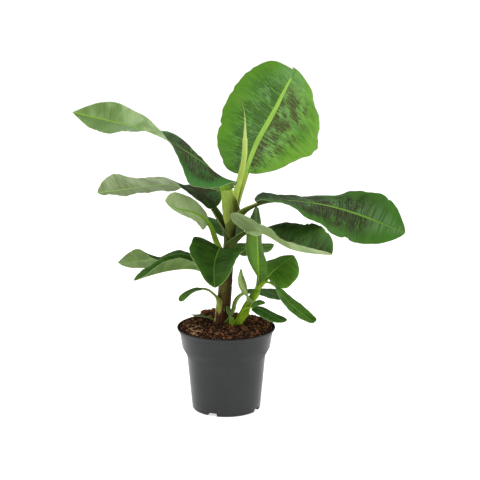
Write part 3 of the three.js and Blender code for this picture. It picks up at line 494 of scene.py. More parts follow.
def blade_shape(name, L, mats, pitch=0.9, columns=18, wave=1.0, nick=0, thickness=0.44):
    rng = seeded("blade " + name)
    length = float(L["blade"])
    total = L["petiole"] + length
    at = run_of(L)
    s0 = L["petiole"] / total
    t = rows_of(length, pitch)
    s = t * length
    P, T, N = at(s0 + (1 - s0) * t)
    R = np.cross(T, N)
    roll = np.radians(along(L["roll"], t))[:, None]
    N2 = N * np.cos(roll) + R * np.sin(roll)
    R2 = np.cross(T, N2)
    sweep = np.radians(along(L["sweep"], t))[:, None]
    neck = L["neck"]
    rib0 = L.get("rib", neck * 0.42)
    m = mix(rib0, 0.75, t ** L.get("rib_run", 0.8)) + (0.97 * neck - rib0) * np.exp(-s / 12.0)
    keel = m * mix(L.get("flat", 0.8), 0.42, smooth(0, 0.35, t))
    groove = m * mix(0.30, 0.16, t)
    base = np.maximum(L["half"] * outline(t, L["foot"], L["tip"]), np.where(t < 0.5, neck * 1.02, 0.45))
    K = columns
    pos = {}
    halves = []
    for side in (-1, 1):
        jag = ripple(rng, 7, 14, 60)
        fray = ripple(rng, 5, 4, 11)
        W = base * (L["wide"] if side < 0 else 1 / L["wide"])
        W = W * (1 + 0.012 * jag(s) * smooth(0.02, 0.15, t) * smooth(1.0, 0.9, t)) + L.get("fray", 0.08) * fray(s) * smooth(0.03, 0.1, t) * smooth(1, 0.93, t)
        if "pinch" in L and L["pinch"][0] == side:
            W = W * (1 - L["pinch"][2] * np.exp(-((t - L["pinch"][1]) / L["pinch"][3]) ** 2))
        if side < 0 and "notch" in L:
            W = W * (1 - L["notch"] * np.exp(-((s - (length - 4.5)) / 4.0) ** 2))
        for _ in range(nick):
            c, d, b = rng.uniform(0.2, 0.9) * length, rng.uniform(1.2, 3.4), rng.uniform(1.6, 4.0)
            W = W - d * np.exp(-((s - c) / b) ** 2)
        W = np.maximum(W, 0.4)
        mm = np.minimum(m, 0.8 * W)
        inner = np.array([0.0, 0.3, 0.58, 0.82, 1.0, 1.25])
        outer = (np.arange(1, K - 4) / (K - 5)) ** 0.94
        w = np.concatenate([mm[:, None] * inner, mm[:, None] * 1.25 + (W - mm * 1.25)[:, None] * outer], 1)
        w = np.minimum(w, W[:, None])
        v = w / W[:, None]
        fold = np.radians(along(L["foldR" if side > 0 else "foldL"], t))[:, None]
        curl = np.radians(along(L["curlR" if side > 0 else "curlL"], t))[:, None]
        curl = np.where(np.abs(curl) < 1e-3, 1e-3, curl)
        A = (np.sin(fold + curl * v) - np.sin(fold)) / curl
        B = (np.cos(fold) - np.cos(fold + curl * v)) / curl
        E = R2 * side * np.cos(sweep) + T * np.sin(sweep)
        X = P[:, None, :] + W[:, None, None] * (E[:, None, :] * A[..., None] + N2[:, None, :] * B[..., None])
        halves.append(dict(W=W, w=w, v=v, X=X, m=mm))
    left, right = halves
    X = np.concatenate([left["X"][:, :0:-1], right["X"]], 1)
    w = np.concatenate([-left["w"][:, :0:-1], right["w"]], 1)
    v = np.concatenate([left["v"][:, :0:-1], right["v"]], 1)
    W = np.concatenate([np.repeat(left["W"][:, None], K, 1), np.repeat(right["W"][:, None], K + 1, 1)], 1)
    M = np.concatenate([np.repeat(left["m"][:, None], K, 1), np.repeat(right["m"][:, None], K + 1, 1)], 1)
    cols = X.shape[1]
    S = np.repeat(s[:, None], cols, 1)
    tt = np.repeat(t[:, None], cols, 1)

    def normals(X):
        du = np.gradient(X, axis=0)
        dv = np.gradient(X, axis=1)
        return unit(np.cross(dv, du))
    n0 = normals(X)
    # relief: corrugation along the side veins, broad pleats, a wavy margin
    vein = ripple(rng, 5, 2.9, 3.9)
    pleatL, pleatR = ripple(rng, 4, 11, 26), ripple(rng, 4, 11, 26)
    waveL, waveR = ripple(rng, 4, 42, 88), ripple(rng, 4, 42, 88)
    isleft = w < 0
    ends = smooth(0.0, 0.06, tt) * smooth(1.0, 0.94, tt)
    size = min(1.0, L["half"] / 50.0)
    lifted = v ** 3 * np.where(isleft, waveL(S), waveR(S)) * 1.5 * wave * size
    pleat = np.sqrt(np.clip(v * (1 - 0.55 * v), 0, 1)) * smooth(1.0, 2.2, np.abs(w) / M) * np.where(isleft, pleatL(S), pleatR(S)) * 0.55 * (0.4 + 0.6 * size)
    small = vein(S + L.get("shear", 0.0) * w + 0.004 * w * w) * 0.15 * smooth(1.1, 2.0, np.abs(w) / M) * smooth(1.0, 0.9, v)
    X = X + n0 * ((lifted + pleat + small) * ends)[..., None]
    n = normals(X)
    x = np.clip(np.abs(w) / M, 0, 1)
    bowl = np.sqrt(np.clip(1 - x * x, 0, 1))
    thick = thickness * (0.55 + 0.45 * smooth(1.0, 0.8, v)) / 2
    lip = 0.10 * M * np.exp(-((np.abs(w) / M - 1.12) / 0.22) ** 2)
    fade = smooth(1.0, 0.97, tt)
    top = X + n * (thick - (groove[:, None] * (1 - x * x) - lip) * fade)[..., None]
    low = X - n * (thick + keel[:, None] * bowl * fade)[..., None]
    # distance from the outline, for the pale rim
    slope = np.gradient(W, s, axis=0)
    rim = (W - np.abs(w)) / np.sqrt(1 + slope ** 2)
    rows = len(t)
    index = np.arange(rows * cols).reshape(rows, cols)
    a, b, c, d = index[:-1, :-1], index[:-1, 1:], index[1:, 1:], index[1:, :-1]
    topf = np.stack([a, b, c, d], -1).reshape(-1, 4)
    off = rows * cols
    lowf = np.stack([a, d, c, b], -1).reshape(-1, 4) + off
    L0, R0 = index[:, 0], index[:, -1]
    leftf = np.stack([L0[:-1], L0[1:], L0[1:] + off, L0[:-1] + off], -1)
    rightf = np.stack([R0[:-1], R0[:-1] + off, R0[1:] + off, R0[1:]], -1)
    first, last = index[0], index[-1]
    startf = np.stack([first[:-1], first[:-1] + off, first[1:] + off, first[1:]], -1)
    endf = np.stack([last[:-1], last[1:], last[1:] + off, last[:-1] + off], -1)
    faces = np.concatenate([topf, lowf, leftf, rightf, startf, endf])
    kinds = np.concatenate([np.zeros(len(topf)), np.ones(len(faces) - len(topf))])
    verts = np.concatenate([top.reshape(-1, 3), low.reshape(-1, 3)])
    plain = np.stack([S.ravel() / 100, w.ravel() / 100], -1)
    plain = np.concatenate([plain, plain])
    widest = max(left["W"].max(), right["W"].max())
    ub = 0.012 + 0.976 * (tt.ravel() * 0.998)
    vb = 0.24 * w.ravel() / widest
    flat_top = np.stack([ub, 0.255 + vb], -1)
    flat_low = np.stack([ub, 0.745 + vb], -1)
    bake = np.concatenate([flat_top, flat_low])[faces]
    strip = len(topf) + len(lowf)
    e = 0.004
    nL, nR = len(leftf), len(rightf)
    # the thin edge faces lie just outside the top face's own patch
    seg = bake[strip:strip + nL]
    seg[:, 2:] = bake[strip:strip + nL][:, [1, 0]] - [0, e]
    seg = bake[strip + nL:strip + nL + nR]
    seg[:, 1:3] = bake[strip + nL:strip + nL + nR][:, [0, 3]] + [0, e]
    seg = bake[strip + nL + nR:strip + nL + nR + len(startf)]
    seg[:, 1:3] = bake[strip + nL + nR:strip + nL + nR + len(startf)][:, [0, 3]] - [e, 0]
    seg = bake[strip + nL + nR + len(startf):]
    seg[:, 2:] = bake[strip + nL + nR + len(startf):][:, [1, 0]] + [e, 0]
    both = lambda x: np.concatenate([x.ravel(), x.ravel()])
    ob = mesh_object("leaf_" + name, verts, faces, mats, kinds, plain[faces], bake,
                     dict(share=both(v), mid=both(np.abs(w) / M), rim=both(rim)))
    return ob


# ------------------------------------------------------------------ stems
def stem_point(st, z):
    """Axis of a stem at height z."""
    f, h = np.array(st["foot"], float), np.array(st["head"], float)
    t = (np.asarray(z, float) - f[2]) / (h[2] - f[2])
    p = f + (h - f) * np.asarray(t)[..., None]
    p[..., 0] = p[..., 0] + st.get("bend", 0) * np.sin(math.pi * np.clip(t, 0, 1))
    return p


def stem_radius(st, z):
    f, h = st["foot"][2], st["head"][2]
    t = np.clip((np.asarray(z, float) - f) / (h - f), 0, 1.1)
    if "waist" in st:
        return mix(st["waist"], st["head_radius"], t ** 1.2) + (st["foot_radius"] - st["waist"]) * np.exp(-np.maximum(z - f, 0) / st["flare"])
    return mix(st["foot_radius"], st["head_radius"], t ** 0.8)


def tube(name, rings, mats, run, s, girth, floats=None, slot=None, nodes=()):
    """Closed loft through rings (rows, n, 3) with fans at both ends."""
    rows, n, _ = rings.shape
    verts = np.concatenate([rings.reshape(-1, 3), rings[0].mean(0)[None], rings[-1].mean(0)[None]])
    idx = np.arange(rows * n).reshape(rows, n)
    nxt = np.roll(idx, -1, 1)
    quads = np.stack([idx[:-1], nxt[:-1], nxt[1:], idx[1:]], -1).reshape(-1, 4)
    c0, c1 = rows * n, rows * n + 1
    fan0 = np.stack([nxt[0], idx[0], np.full(n, c0)], -1)
    fan1 = np.stack([idx[-1], nxt[-1], np.full(n, c1)], -1)
    # which way the loop turns against the travel
    k = rows // 2
    e1, e2 = rings[k, 1] - rings[k, 0], rings[min(k + 1, rows - 1), 0] - rings[k, 0]
    outward = rings[k, 0] - rings[k].mean(0)
    if np.dot(np.cross(e1, e2), outward) < 0:
        quads, fan0, fan1 = quads[:, ::-1], fan0[:, ::-1], fan1[:, ::-1]
    return verts, quads, fan0, fan1


def loft_object(name, rings, mats, s, w, lip, run, bake_width, sharp=None):
    rows, n, _ = rings.shape
    verts, quads, fan0, fan1 = tube(name, rings, mats, run, s, w)
    tail = lambda x: np.concatenate([x.ravel(), [x[0].mean(), x[-1].mean()]])
    S, Wd, LP, RN = tail(s), tail(w), tail(lip), tail(run)
    loops = np.concatenate([quads.ravel(), fan0.ravel(), fan1.ravel()])
    uv = np.stack([S[loops] / 100, Wd[loops] / 100], -1)
    # a map of its own for baking: rows along u, the loop round along v
    around = np.repeat((np.arange(n) / n)[None], rows, 0)
    length = np.concatenate([[0], np.cumsum(np.linalg.norm(np.diff(rings.mean(1), axis=0), axis=1))])
    length = length / max(length[-1], 1e-6)
    bu = np.concatenate([np.repeat(0.03 + 0.94 * length[:, None], n, 1).ravel(), [0.0, 0.0]])
    bv = np.concatenate([around.ravel(), [0.5, 0.5]])
    q = quads
    v4 = bv[q]
    wrap = v4.max(1) - v4.min(1) > 0.5
    v4[wrap] = np.where(v4[wrap] < 0.5, v4[wrap] + 1.0, v4[wrap])
    bq = np.stack([bu[q], 0.01 + 0.98 * v4], -1)
    fans = []
    for fan, u0, u1 in ((fan0, 0.022, 0.004), (fan1, 0.978, 0.996)):
        f = bv[fan].copy()
        edge = f[:, :2] if fan[0, 2] >= rows * n else f[:, 1:]
        centre = 2 if fan[0, 2] >= rows * n else 0
        wr = np.abs(edge[:, 0] - edge[:, 1]) > 0.5
        edge[wr] = np.where(edge[wr] < 0.5, edge[wr] + 1.0, edge[wr])
        uu = np.full(f.shape, u0)
        uu[:, centre] = u1
        f[:, centre] = edge.mean(1)
        fans.append(np.stack([uu, 0.01 + 0.98 * f], -1))
    bake = np.concatenate([bq.reshape(-1, 2), fans[0].reshape(-1, 2), fans[1].reshape(-1, 2)])
    return mesh_object(name, verts, [quads, np.concatenate([fan0, fan1])], mats, None, uv, bake,
                       dict(run=RN, lip=LP), sharp=sharp)


def attach_order(names, st):
    """Leaves of one stem, oldest (lowest) last."""
    return sorted(names, key=lambda n: -LEAVES[n]["at"][2])


SECTION_U = np.linspace(-1, 1, 19)
SECTION_IN = [(0.88, 0.44), (0.80, 0.45), (0.66, 0.34), (0.48, 0.12), (0.25, -0.05), (0.0, -0.11),
              (-0.25, -0.05), (-0.48, 0.12), (-0.66, 0.34), (-0.80, 0.45), (-0.88, 0.44)]


def stalk(name, st, older, mats, wrap=165.0, drop=30.0, deep=60.0, front=60.0, step=0.55, part_at=(-24.0, 5.0), flare=2.4, lift=0.0, outward=None):
    """Petiole with the sheath below it: a crescent that hugs the stem, opening out of it
    and closing into a channelled stalk."""
    L = LEAVES[name]
    at = run_of(L)
    total = L["petiole"] + L["blade"]
    pet = float(L["petiole"])
    n = int((deep + pet) / 1.3)
    s = np.linspace(-deep, pet + 0.5, n)
    P, T, N = at(s / total)
    zat = L["at"][2]
    origin = np.array(L["at"], float)
    off = origin - stem_point(st, zat)
    far = P[np.searchsorted(s, min(14.0, pet * 0.5))] - stem_point(st, zat)
    aim = off if np.hypot(off[0], off[1]) > 3.5 else far
    O = math.atan2(aim[1], aim[0]) if outward is None else math.radians(outward)
    out = np.array([math.cos(O), math.sin(O), 0.0])
    # upper-face normals carried back from the blade with as little twist as can be
    R = np.cross(T, N)
    roll = math.radians(L["roll"][0])
    up = np.zeros_like(N)
    up[-1] = N[-1] * math.cos(roll) + R[-1] * math.sin(roll)
    for i in range(n - 2, -1, -1):
        u = up[i + 1] - T[i] * np.dot(up[i + 1], T[i])
        up[i] = u / np.linalg.norm(u)
    i0 = int(np.searchsorted(s, 0.0))
    want = -out - T[i0] * np.dot(-out, T[i0])
    want = want / max(np.linalg.norm(want), 1e-6)
    delta = math.atan2(np.dot(np.cross(up[i0], want), T[i0]), np.dot(up[i0], want))
    turn = delta * (1 - smooth(0, 1, np.clip(s / pet, 0, 1)))
    side0 = np.cross(T, up)
    # rotation about T
    up2 = up * np.cos(turn)[:, None] + np.cross(T, up) * np.sin(turn)[:, None]
    right = np.cross(T, up2)
    share = np.clip(s / pet, 0, 1)
    r = mix(L["thick"], L["neck"], share ** 0.8) * (1 + 0.10 * np.exp(-np.maximum(s, 0) / 7.0))
    flat = L.get("flat", 0.8)
    u_out = SECTION_U
    ang = np.radians(270 + u_out * 110)
    xo, yo = np.cos(ang), np.sin(ang)
    xi = np.array([p[0] for p in SECTION_IN])
    yi = np.array([p[1] for p in SECTION_IN])
    if flat < 0.5:
        # a gutter with thin walls instead of a thick stalk
        yi = np.where(np.abs(xi) > 0.85, 0.26, 0.10 - 0.80 * np.sqrt(np.clip(1 - (xi / 0.95) ** 2, 0, 1)))
    x = np.concatenate([xo, xi])
    y = np.concatenate([yo, yi])
    u = np.concatenate([u_out, xi / 0.92])
    inner = np.concatenate([np.zeros(len(xo)), np.ones(len(xi))])
    ribs = 1 + 0.022 * np.cos(11 * ang)
    k = np.concatenate([ribs, np.ones(len(xi))])
    stalk_ring = P[:, None, :] + right[:, None, :] * (r[:, None] * x * k)[..., None] + up2[:, None, :] * (flat * r[:, None] * y * k)[..., None]
    # the sheath round the stem
    z = zat + np.minimum(s, 0) + np.where(s > 0, np.maximum.accumulate(np.where(s > 0, P[:, 2] - zat, 0)), 0)
    axis = stem_point(st, z)
    radius = stem_radius(st, z) + 0.45
    for zo in older:
        radius = radius - step * smooth(zo + 2, zo - 9, z)
    radius = radius + flare * smooth(lift - 30, lift, s) ** 1.5 - 1.5 * smooth(-deep + 16, -deep, s)
    low = np.clip((lift - s) / drop, 0, 1)
    alpha = np.radians(front + (wrap - front) * low ** 0.75)
    psi = -alpha[:, None] * u
    th = 1.5 * np.sqrt(np.clip(1 - u ** 2, 0, 1)) + 0.42
    bumps = 1 + 0.012 * np.cos(9 * psi + 1.3) + 0.008 * np.sin(17 * psi)
    rho = radius[:, None] * bumps - inner * th
    direction = np.stack([np.cos(O + psi), np.sin(O + psi), 0 * psi], -1)
    arc_ring = axis[:, None, :] + direction * rho[..., None]
    # margins of the mouth turn out a little and run lower than the back
    arc_ring[..., 2] -= 2.0 * np.abs(u) ** 2 * (low * (1 - low) * 4)[:, None]
    b = smooth(part_at[0], part_at[1], s)[:, None, None]
    rings = arc_ring * (1 - b) + stalk_ring * b
    rng = seeded("stalk " + name)
    sway = ripple(rng, 4, 18, 50)
    rings = rings + direction * (0.25 * sway(s) * smooth(-deep, -deep + 15, s))[:, None, None] * (1 - b)
    S = np.repeat(s[:, None], len(u), 1)
    W = np.repeat((u * 11.0 + inner * 30.0)[None], n, 0)
    lip = np.repeat(np.clip(np.abs(u), 0, 1)[None], n, 0) * smooth(-deep + 6, -deep + 22, s)[:, None]
    run = np.repeat(((s + deep) / (deep + pet))[:, None], len(u), 1)
    ob = loft_object("stalk_" + name, rings, mats, S, W, lip, run, 1.0)
    return place(ob, "petiole_skin", "petiole_" + name)


def stem_mesh(name, st, mats, slot, rows, sides, lobes, seed, inset=0.25, top=1.0):
    rng = seeded(name)
    z = np.linspace(st["foot"][2] + 1.0, st["head"][2] - top, rows)
    c = stem_point(st, z)
    r = stem_radius(st, z) - inset
    a = np.linspace(0, 2 * math.pi, sides, endpoint=False)
    wob = ripple2(rng, 6, 9, 30)
    fine = ripple(rng, 6, 0.09, 0.30)
    A, Z = np.meshgrid(a, z)
    lob = 1 + lobes * np.cos(2 * A + 1.1 + 0.02 * (Z - 144)) + 0.4 * lobes * np.cos(3 * A + 0.03 * (Z - 144))
    rel = 0.18 * fine(A + 0.002 * Z) + 0.16 * wob(A * 14, Z)
    rr = r[:, None] * lob + rel
    # overlapping sheath edges: shallow steps that run steeply round the stem
    for j in range(3):
        turn = rng.uniform(0, 2 * math.pi)
        d = np.mod(A - turn - 0.011 * (Z - 144) * (1 if j % 2 else -1), 2 * math.pi)
        rr = rr + 0.55 * smooth(0.0, 0.10, d) * smooth(2.6, 0.6, d)
    rings = np.stack([c[:, None, 0] + rr * np.cos(A), c[:, None, 1] + rr * np.sin(A), Z], -1)
    run = np.repeat(((z - z[0]) / (z[-1] - z[0]))[:, None], sides, 1)
    S = Z - 144
    # texture place round the stem repeats at the seam, at the back
    W = (np.mod(A - math.pi / 2, 2 * math.pi) - math.pi) * 11
    ob = loft_object(name, rings, mats, S, W, np.zeros_like(run), run, 1.0)
    return place(ob, slot, {"main_stem": "pseudostem", "sucker_main": "sucker_stem", "shoot_main": "shoot_stem"}[name])


def spear_mesh(mats):
    L = dict(at=SPEAR["at"], petiole=0.0, blade=SPEAR["length"], heading=SPEAR["heading"], rise=SPEAR["rise"])
    at = run_of(L)
    rows, sides = 230, 40
    t = np.linspace(-0.05, 1, rows)
    P, T, N = at(t)
    # carry one normal along, so that the roll is even
    up = np.zeros_like(N)
    up[0] = N[0]
    for i in range(1, rows):
        q = up[i - 1] - T[i] * np.dot(up[i - 1], T[i])
        up[i] = q / np.linalg.norm(q)
    R = np.cross(T, up)
    # the dry thread at the tip waves a little
    P = P + R * (1.1 * smooth(0.78, 0.88, t) * np.sin(38.0 * (t - 0.78)))[:, None]
    r = np.where(t < 0.60, mix(SPEAR["foot_radius"], SPEAR["waist"], np.clip(t / 0.6, 0, 1)),
                 mix(SPEAR["waist"], 0.42, smooth(0.47, 0.87, t)))
    a = np.linspace(0, 2 * math.pi, sides, endpoint=False)
    rng = seeded("spear")
    wob = ripple(rng, 4, 0.05, 0.16)
    twist = -2.5 + 3.3 * t
    d = np.mod(a[None] - twist[:, None], 2 * math.pi) / (2 * math.pi)
    d2 = np.mod(a[None] - twist[:, None] - 2.2, 2 * math.pi) / (2 * math.pi)
    k = 0.90 + 0.20 * smooth(0.0, 0.07, d) * (1 - 0.75 * d) + 0.05 * np.cos(2 * math.pi * d2) + 0.05 * smooth(0.0, 0.05, d2) * (1 - d2)
    k = k + 0.012 * np.cos(13 * a)[None] + 0.03 * wob(t)[:, None]
    rr = r[:, None] * k
    rings = P[:, None, :] + R[:, None, :] * (rr * np.cos(a))[..., None] + up[:, None, :] * (rr * np.sin(a))[..., None]
    S = np.repeat((t * SPEAR["length"])[:, None], sides, 1)
    W = d * 26
    run = np.repeat(t[:, None], sides, 1)
    lip = smooth(0.06, 0.0, d) * 1.0
    ob = loft_object("spear", rings, mats, S, W, lip, np.clip(run, 0, 1), 1.0)
    return place(ob, "petiole_skin", "spear_leaf")


# ------------------------------------------------------------------ pot and soil
def arc_points(points, radii, n=5):
    """A profile with each inner corner rounded."""
    out = [points[0]]
    for i in range(1, len(points) - 1):
        a, b, c = (np.array(points[i - 1], float), np.array(points[i], float), np.array(points[i + 1], float))
        r = radii[i]
        if r <= 0:
            out.append(tuple(b))
            continue
        u, v = a - b, c - b
        lu, lv = np.linalg.norm(u), np.linalg.norm(v)
        cut = min(r, lu * 0.45, lv * 0.45)
        p, q = b + u / lu * cut, b + v / lv * cut
        for j in range(n + 1):
            x = j / n
            out.append(tuple((1 - x) ** 2 * p + 2 * x * (1 - x) * b + x * x * q))
    out.append(points[-1])
    return out


def refine(profile, longest):
    out = [profile[0]]
    for a, b in zip(profile, profile[1:]):
        n = max(1, int(math.ceil(math.dist(a, b) / longest)))
        out += [(mix(a[0], b[0], i / n), mix(a[1], b[1], i / n)) for i in range(1, n + 1)]
    return out


def pot_mesh(mat):
    p = POT
    z_lip = p["height"] - p["lip_band"]
    z_sh = z_lip - p["collar_height"]
    z_body = z_sh - p["shoulder_height"]
    line = 9.0
    rl = mix(p["body_foot"], p["body_top"], (line - 2) / (z_body - 2))
    outer = [(0, 0.9), (49.5, 0.9), (51.0, 0), (p["foot_radius"], 0), (p["body_foot"] + 0.1, 2.4), (rl - 0.42, line - 0.4), (rl, line + 0.3),
             (p["body_top"], z_body), (p["collar_foot"], z_sh), (p["collar_foot"] + 0.7, z_sh + 1.2), (p["collar_top"], z_lip), (p["collar_top"] + 2.0, z_lip + 2.2),
             (p["lip_radius"] - 0.7, z_lip + 4.6), (p["lip_radius"], p["height"] - 1.2), (p["lip_radius"] - 0.5, p["height"]), (p["lip_radius"] - 2.0, p["height"]), (p["lip_radius"] - 3.0, p["height"] - 2.6)]
    w = p["wall"]
    inner = [(p["collar_top"] - w, z_lip - 1.2), (p["collar_foot"] - w, z_sh), (p["body_top"] - w, z_body), (p["body_foot"] - w, p["floor"]), (0, p["floor"])]
    radii = [0, 0, 0.3, 1.5, 2.0, 0.3, 0.3, 2.4, 1.6, 0.9, 1.6, 1.6, 1.2, 0.8, 0.7, 0.7, 1.2, 2, 2, 2, 2, 0]
    assert len(radii) == len(outer) + len(inner)
    profile = refine(arc_points(outer + inner, radii), 4.0)
    prof = np.array(profile)
    n = 192
    a = np.linspace(0, 2 * math.pi, n, endpoint=False)
    ring = prof[1:-1]
    m = len(ring)
    # a moulded pot is never quite round
    ova = 1 + 0.0022 * np.cos(2 * a + 0.6) + 0.0010 * np.cos(3 * a)
    X = ring[:, 0][:, None] * ova * np.cos(a)
    Y = ring[:, 0][:, None] * ova * np.sin(a)
    Z = np.repeat(ring[:, 1][:, None], n, 1)
    verts = np.concatenate([np.stack([X, Y, Z], -1).reshape(-1, 3), [[0, 0, prof[0, 1]], [0, 0, prof[-1, 1]]]])
    idx = np.arange(m * n).reshape(m, n)
    nxt = np.roll(idx, -1, 1)
    quads = np.stack([idx[:-1], nxt[:-1], nxt[1:], idx[1:]], -1).reshape(-1, 4)
    bottom = np.stack([nxt[0], idx[0], np.full(n, m * n)], -1)
    top = np.stack([idx[-1], nxt[-1], np.full(n, m * n + 1)], -1)
    ob = mesh_object("nursery_pot", verts, [quads, np.concatenate([bottom, top])], [mat], floats=dict(none=np.zeros(len(verts))))
    # drainage notches in the foot's edge
    for i in range(p["notch_count"]):
        turn = math.radians(p["notch_turn"] + i * 360 / p["notch_count"])
        hw, slope = p["notch_width"] / 2, p["notch_height"] / p["notch_reach"]
        # the roof of a notch slopes down inwards, under the raised floor
        shape = [(p["body_foot"] - p["notch_reach"] - 1 / slope, -1), (p["body_foot"] + 4, -1), (p["body_foot"] + 4, p["notch_height"] + 4 * slope)]
        pts = []
        for x in (-hw, hw):
            for rad, z in shape:
                pts.append((rad * math.cos(turn) - x * math.sin(turn), rad * math.sin(turn) + x * math.cos(turn), z))
        cutter = mesh_object("notch_%d" % i, np.array(pts), [np.array([(0, 1, 2), (5, 4, 3)]), np.array([(0, 3, 4, 1), (1, 4, 5, 2), (2, 5, 3, 0)])], [mat], smooth_faces=False)
        import_fix(cutter)
        mod = ob.modifiers.new("notch", "BOOLEAN")
        mod.operation = "DIFFERENCE"
        mod.solver = "EXACT"
        mod.object = cutter
        bpy.context.view_layer.objects.active = ob
        bpy.ops.object.modifier_apply(modifier=mod.name)
        bpy.data.objects.remove(cutter)
    ob.data.set_sharp_from_angle(angle=math.radians(38))
    return place(ob, "pot_plastic", "pot")


def import_fix(ob):
    """Faces of a small closed mesh turned outward."""
    import bmesh
    bm = bmesh.new()
    bm.from_mesh(ob.data)
    bmesh.ops.recalc_face_normals(bm, faces=bm.faces)
    bm.to_mesh(ob.data)
    bm.free()


def soil_height(x, y):
    """Top of the potting mix, in mm, at a place in the pot."""
    r = np.hypot(x, y)
    rim = 81.4
    base = SOIL["edge"] + 1.2 + (SOIL["crown"] - SOIL["edge"] - 2.4) * np.sqrt(np.clip(1 - (r / rim) ** 2, 0, 1))
    heap = 4.5 * np.exp(-(((x + 30) / 22) ** 2 + ((y - 58) / 16) ** 2)) + 3.0 * np.exp(-(((x + 52) / 14) ** 2 + ((y + 34) / 14) ** 2))
    return base + heap * smooth(rim + 2, rim - 16, r) + SOIL_WAVE(x, y) * 1.5 * smooth(rim + 1, rim - 12, r) + SOIL_LUMP(x, y) * 1.15 * smooth(rim + 1, rim - 4, r)


SOIL_WAVE = ripple2(seeded("soil wave"), 6, 22, 50)
SOIL_LUMP = ripple2(seeded("soil lump"), 12, 4, 11)
SOIL_GRIT = ripple2(seeded("soil grit"), 16, 1.6, 4)


def soil_mesh(mat):
    p = POT
    rim = 81.6
    n, m = 260, 110
    a = np.linspace(0, 2 * math.pi, n, endpoint=False)
    r = rim * (np.arange(1, m + 1) / m)
    A, Rr = np.meshgrid(a, r)
    X, Y = Rr * np.cos(A), Rr * np.sin(A)
    Z = soil_height(X, Y) + SOIL_GRIT(X, Y) * 0.35 * smooth(rim + 1, rim - 3, Rr)
    top = np.stack([X, Y, Z], -1)
    wall = []
    for rad, z in ((79.8, 139.6), (74.6, 112.0), (67.0, 98.0), (58.0, 7.6)):
        wall.append(np.stack([rad * np.cos(a), rad * np.sin(a), np.full(n, z)], -1))
    rings = np.concatenate([top, np.array(wall)])
    rows = len(rings)
    verts = np.concatenate([rings.reshape(-1, 3), [[0, 0, float(soil_height(np.array(0.0), np.array(0.0)))], [0, 0, 7.6]]])
    idx = np.arange(rows * n).reshape(rows, n)
    nxt = np.roll(idx, -1, 1)
    quads = np.stack([idx[:-1], idx[1:], nxt[1:], nxt[:-1]], -1).reshape(-1, 4)
    fan = np.stack([idx[0], nxt[0], np.full(n, rows * n)], -1)
    foot = np.stack([nxt[-1], idx[-1], np.full(n, rows * n + 1)], -1)
    ob = mesh_object("potting_mix", verts, [quads, np.concatenate([fan, foot])], [mat], sharp=60)
    return place(ob, "potting_mix", "soil")


def ball(level):
    """Vertices and triangles of a sphere made from an octahedron."""
    v = [(1, 0, 0), (-1, 0, 0), (0, 1, 0), (0, -1, 0), (0, 0, 1), (0, 0, -1)]
    f = [(0, 2, 4), (2, 1, 4), (1, 3, 4), (3, 0, 4), (2, 0, 5), (1, 2, 5), (3, 1, 5), (0, 3, 5)]
    for _ in range(level):
        seen, g = {}, []

        def half(a, b):
            key = (min(a, b), max(a, b))
            if key not in seen:
                q = np.array(v[a], float) + np.array(v[b], float)
                v.append(tuple(q / np.linalg.norm(q)))
                seen[key] = len(v) - 1
            return seen[key]
        for a, b, c in f:
            ab, bc, ca = half(a, b), half(b, c), half(c, a)
            g += [(a, ab, ca), (ab, b, bc), (ca, bc, c), (ab, bc, ca)]
        f = g
    return np.array(v, float), np.array(f)


def spot(rng, n, inner=0.0, outer=80.0):
    r = np.sqrt(rng.uniform((inner / outer) ** 2, 1, n)) * outer
    a = rng.uniform(0, 2 * math.pi, n)
    return r * np.cos(a), r * np.sin(a)


def turned(rng, n, tilt=1.0):
    """Random rotation matrices: free about Z, tilted by up to `tilt` radians."""
    a, b, c = rng.uniform(0, 2 * math.pi, n), rng.uniform(-tilt, tilt, n), rng.uniform(0, 2 * math.pi, n)
    ca, sa, cb, sb, cc, sc = np.cos(a), np.sin(a), np.cos(b), np.sin(b), np.cos(c), np.sin(c)
    Z = lambda c, s: np.stack([np.stack([c, -s, 0 * c], -1), np.stack([s, c, 0 * c], -1), np.stack([0 * c, 0 * c, 0 * c + 1], -1)], -2)
    X = np.stack([np.stack([0 * cb + 1, 0 * cb, 0 * cb], -1), np.stack([0 * cb, cb, -sb], -1), np.stack([0 * cb, sb, cb], -1)], -2)
    return Z(ca, sa) @ X @ Z(cc, sc)


def crumbs(name, mat, count, size, flat, level=1, tilt=0.7, sink=0.25, places=None, length=1.5, keep=None):
    rng = seeded(name)
    v, f = ball(level)
    x, y = spot(rng, count) if places is None else places(rng, count)
    if keep is not None:
        ok = keep(x, y)
        x, y = x[ok], y[ok]
    n = len(x)
    big = rng.uniform(size[0], size[1], n) * rng.uniform(0.7, 1.0, n)
    sx = big * rng.uniform(0.8, length, n)
    sy = big * rng.uniform(0.6, 1.0, n)
    sz = big * rng.uniform(flat[0], flat[1], n)
    lump = 1 + rng.uniform(-0.28, 0.28, (n, len(v)))
    q = v[None] * lump[..., None]
    q = np.sign(q) * np.abs(q) ** 0.8
    q = q * np.stack([sx, sy, sz], -1)[:, None, :] / 2
    q = np.einsum("nij,nkj->nki", turned(rng, n, tilt), q)
    z = soil_height(x, y) + sz * (0.5 - sink)
    q = q + np.stack([x, y, z], -1)[:, None, :]
    # nothing pokes through the pot's wall
    r = np.hypot(q[..., 0], q[..., 1])
    k = np.minimum(1, 81.2 / np.maximum(r, 1e-6))
    q[..., 0] *= k
    q[..., 1] *= k
    faces = (f[None] + (np.arange(n) * len(v))[:, None, None]).reshape(-1, 3)
    ob = mesh_object(name, q.reshape(-1, 3), faces, [mat], sharp=30)
    return place(ob, "potting_mix")


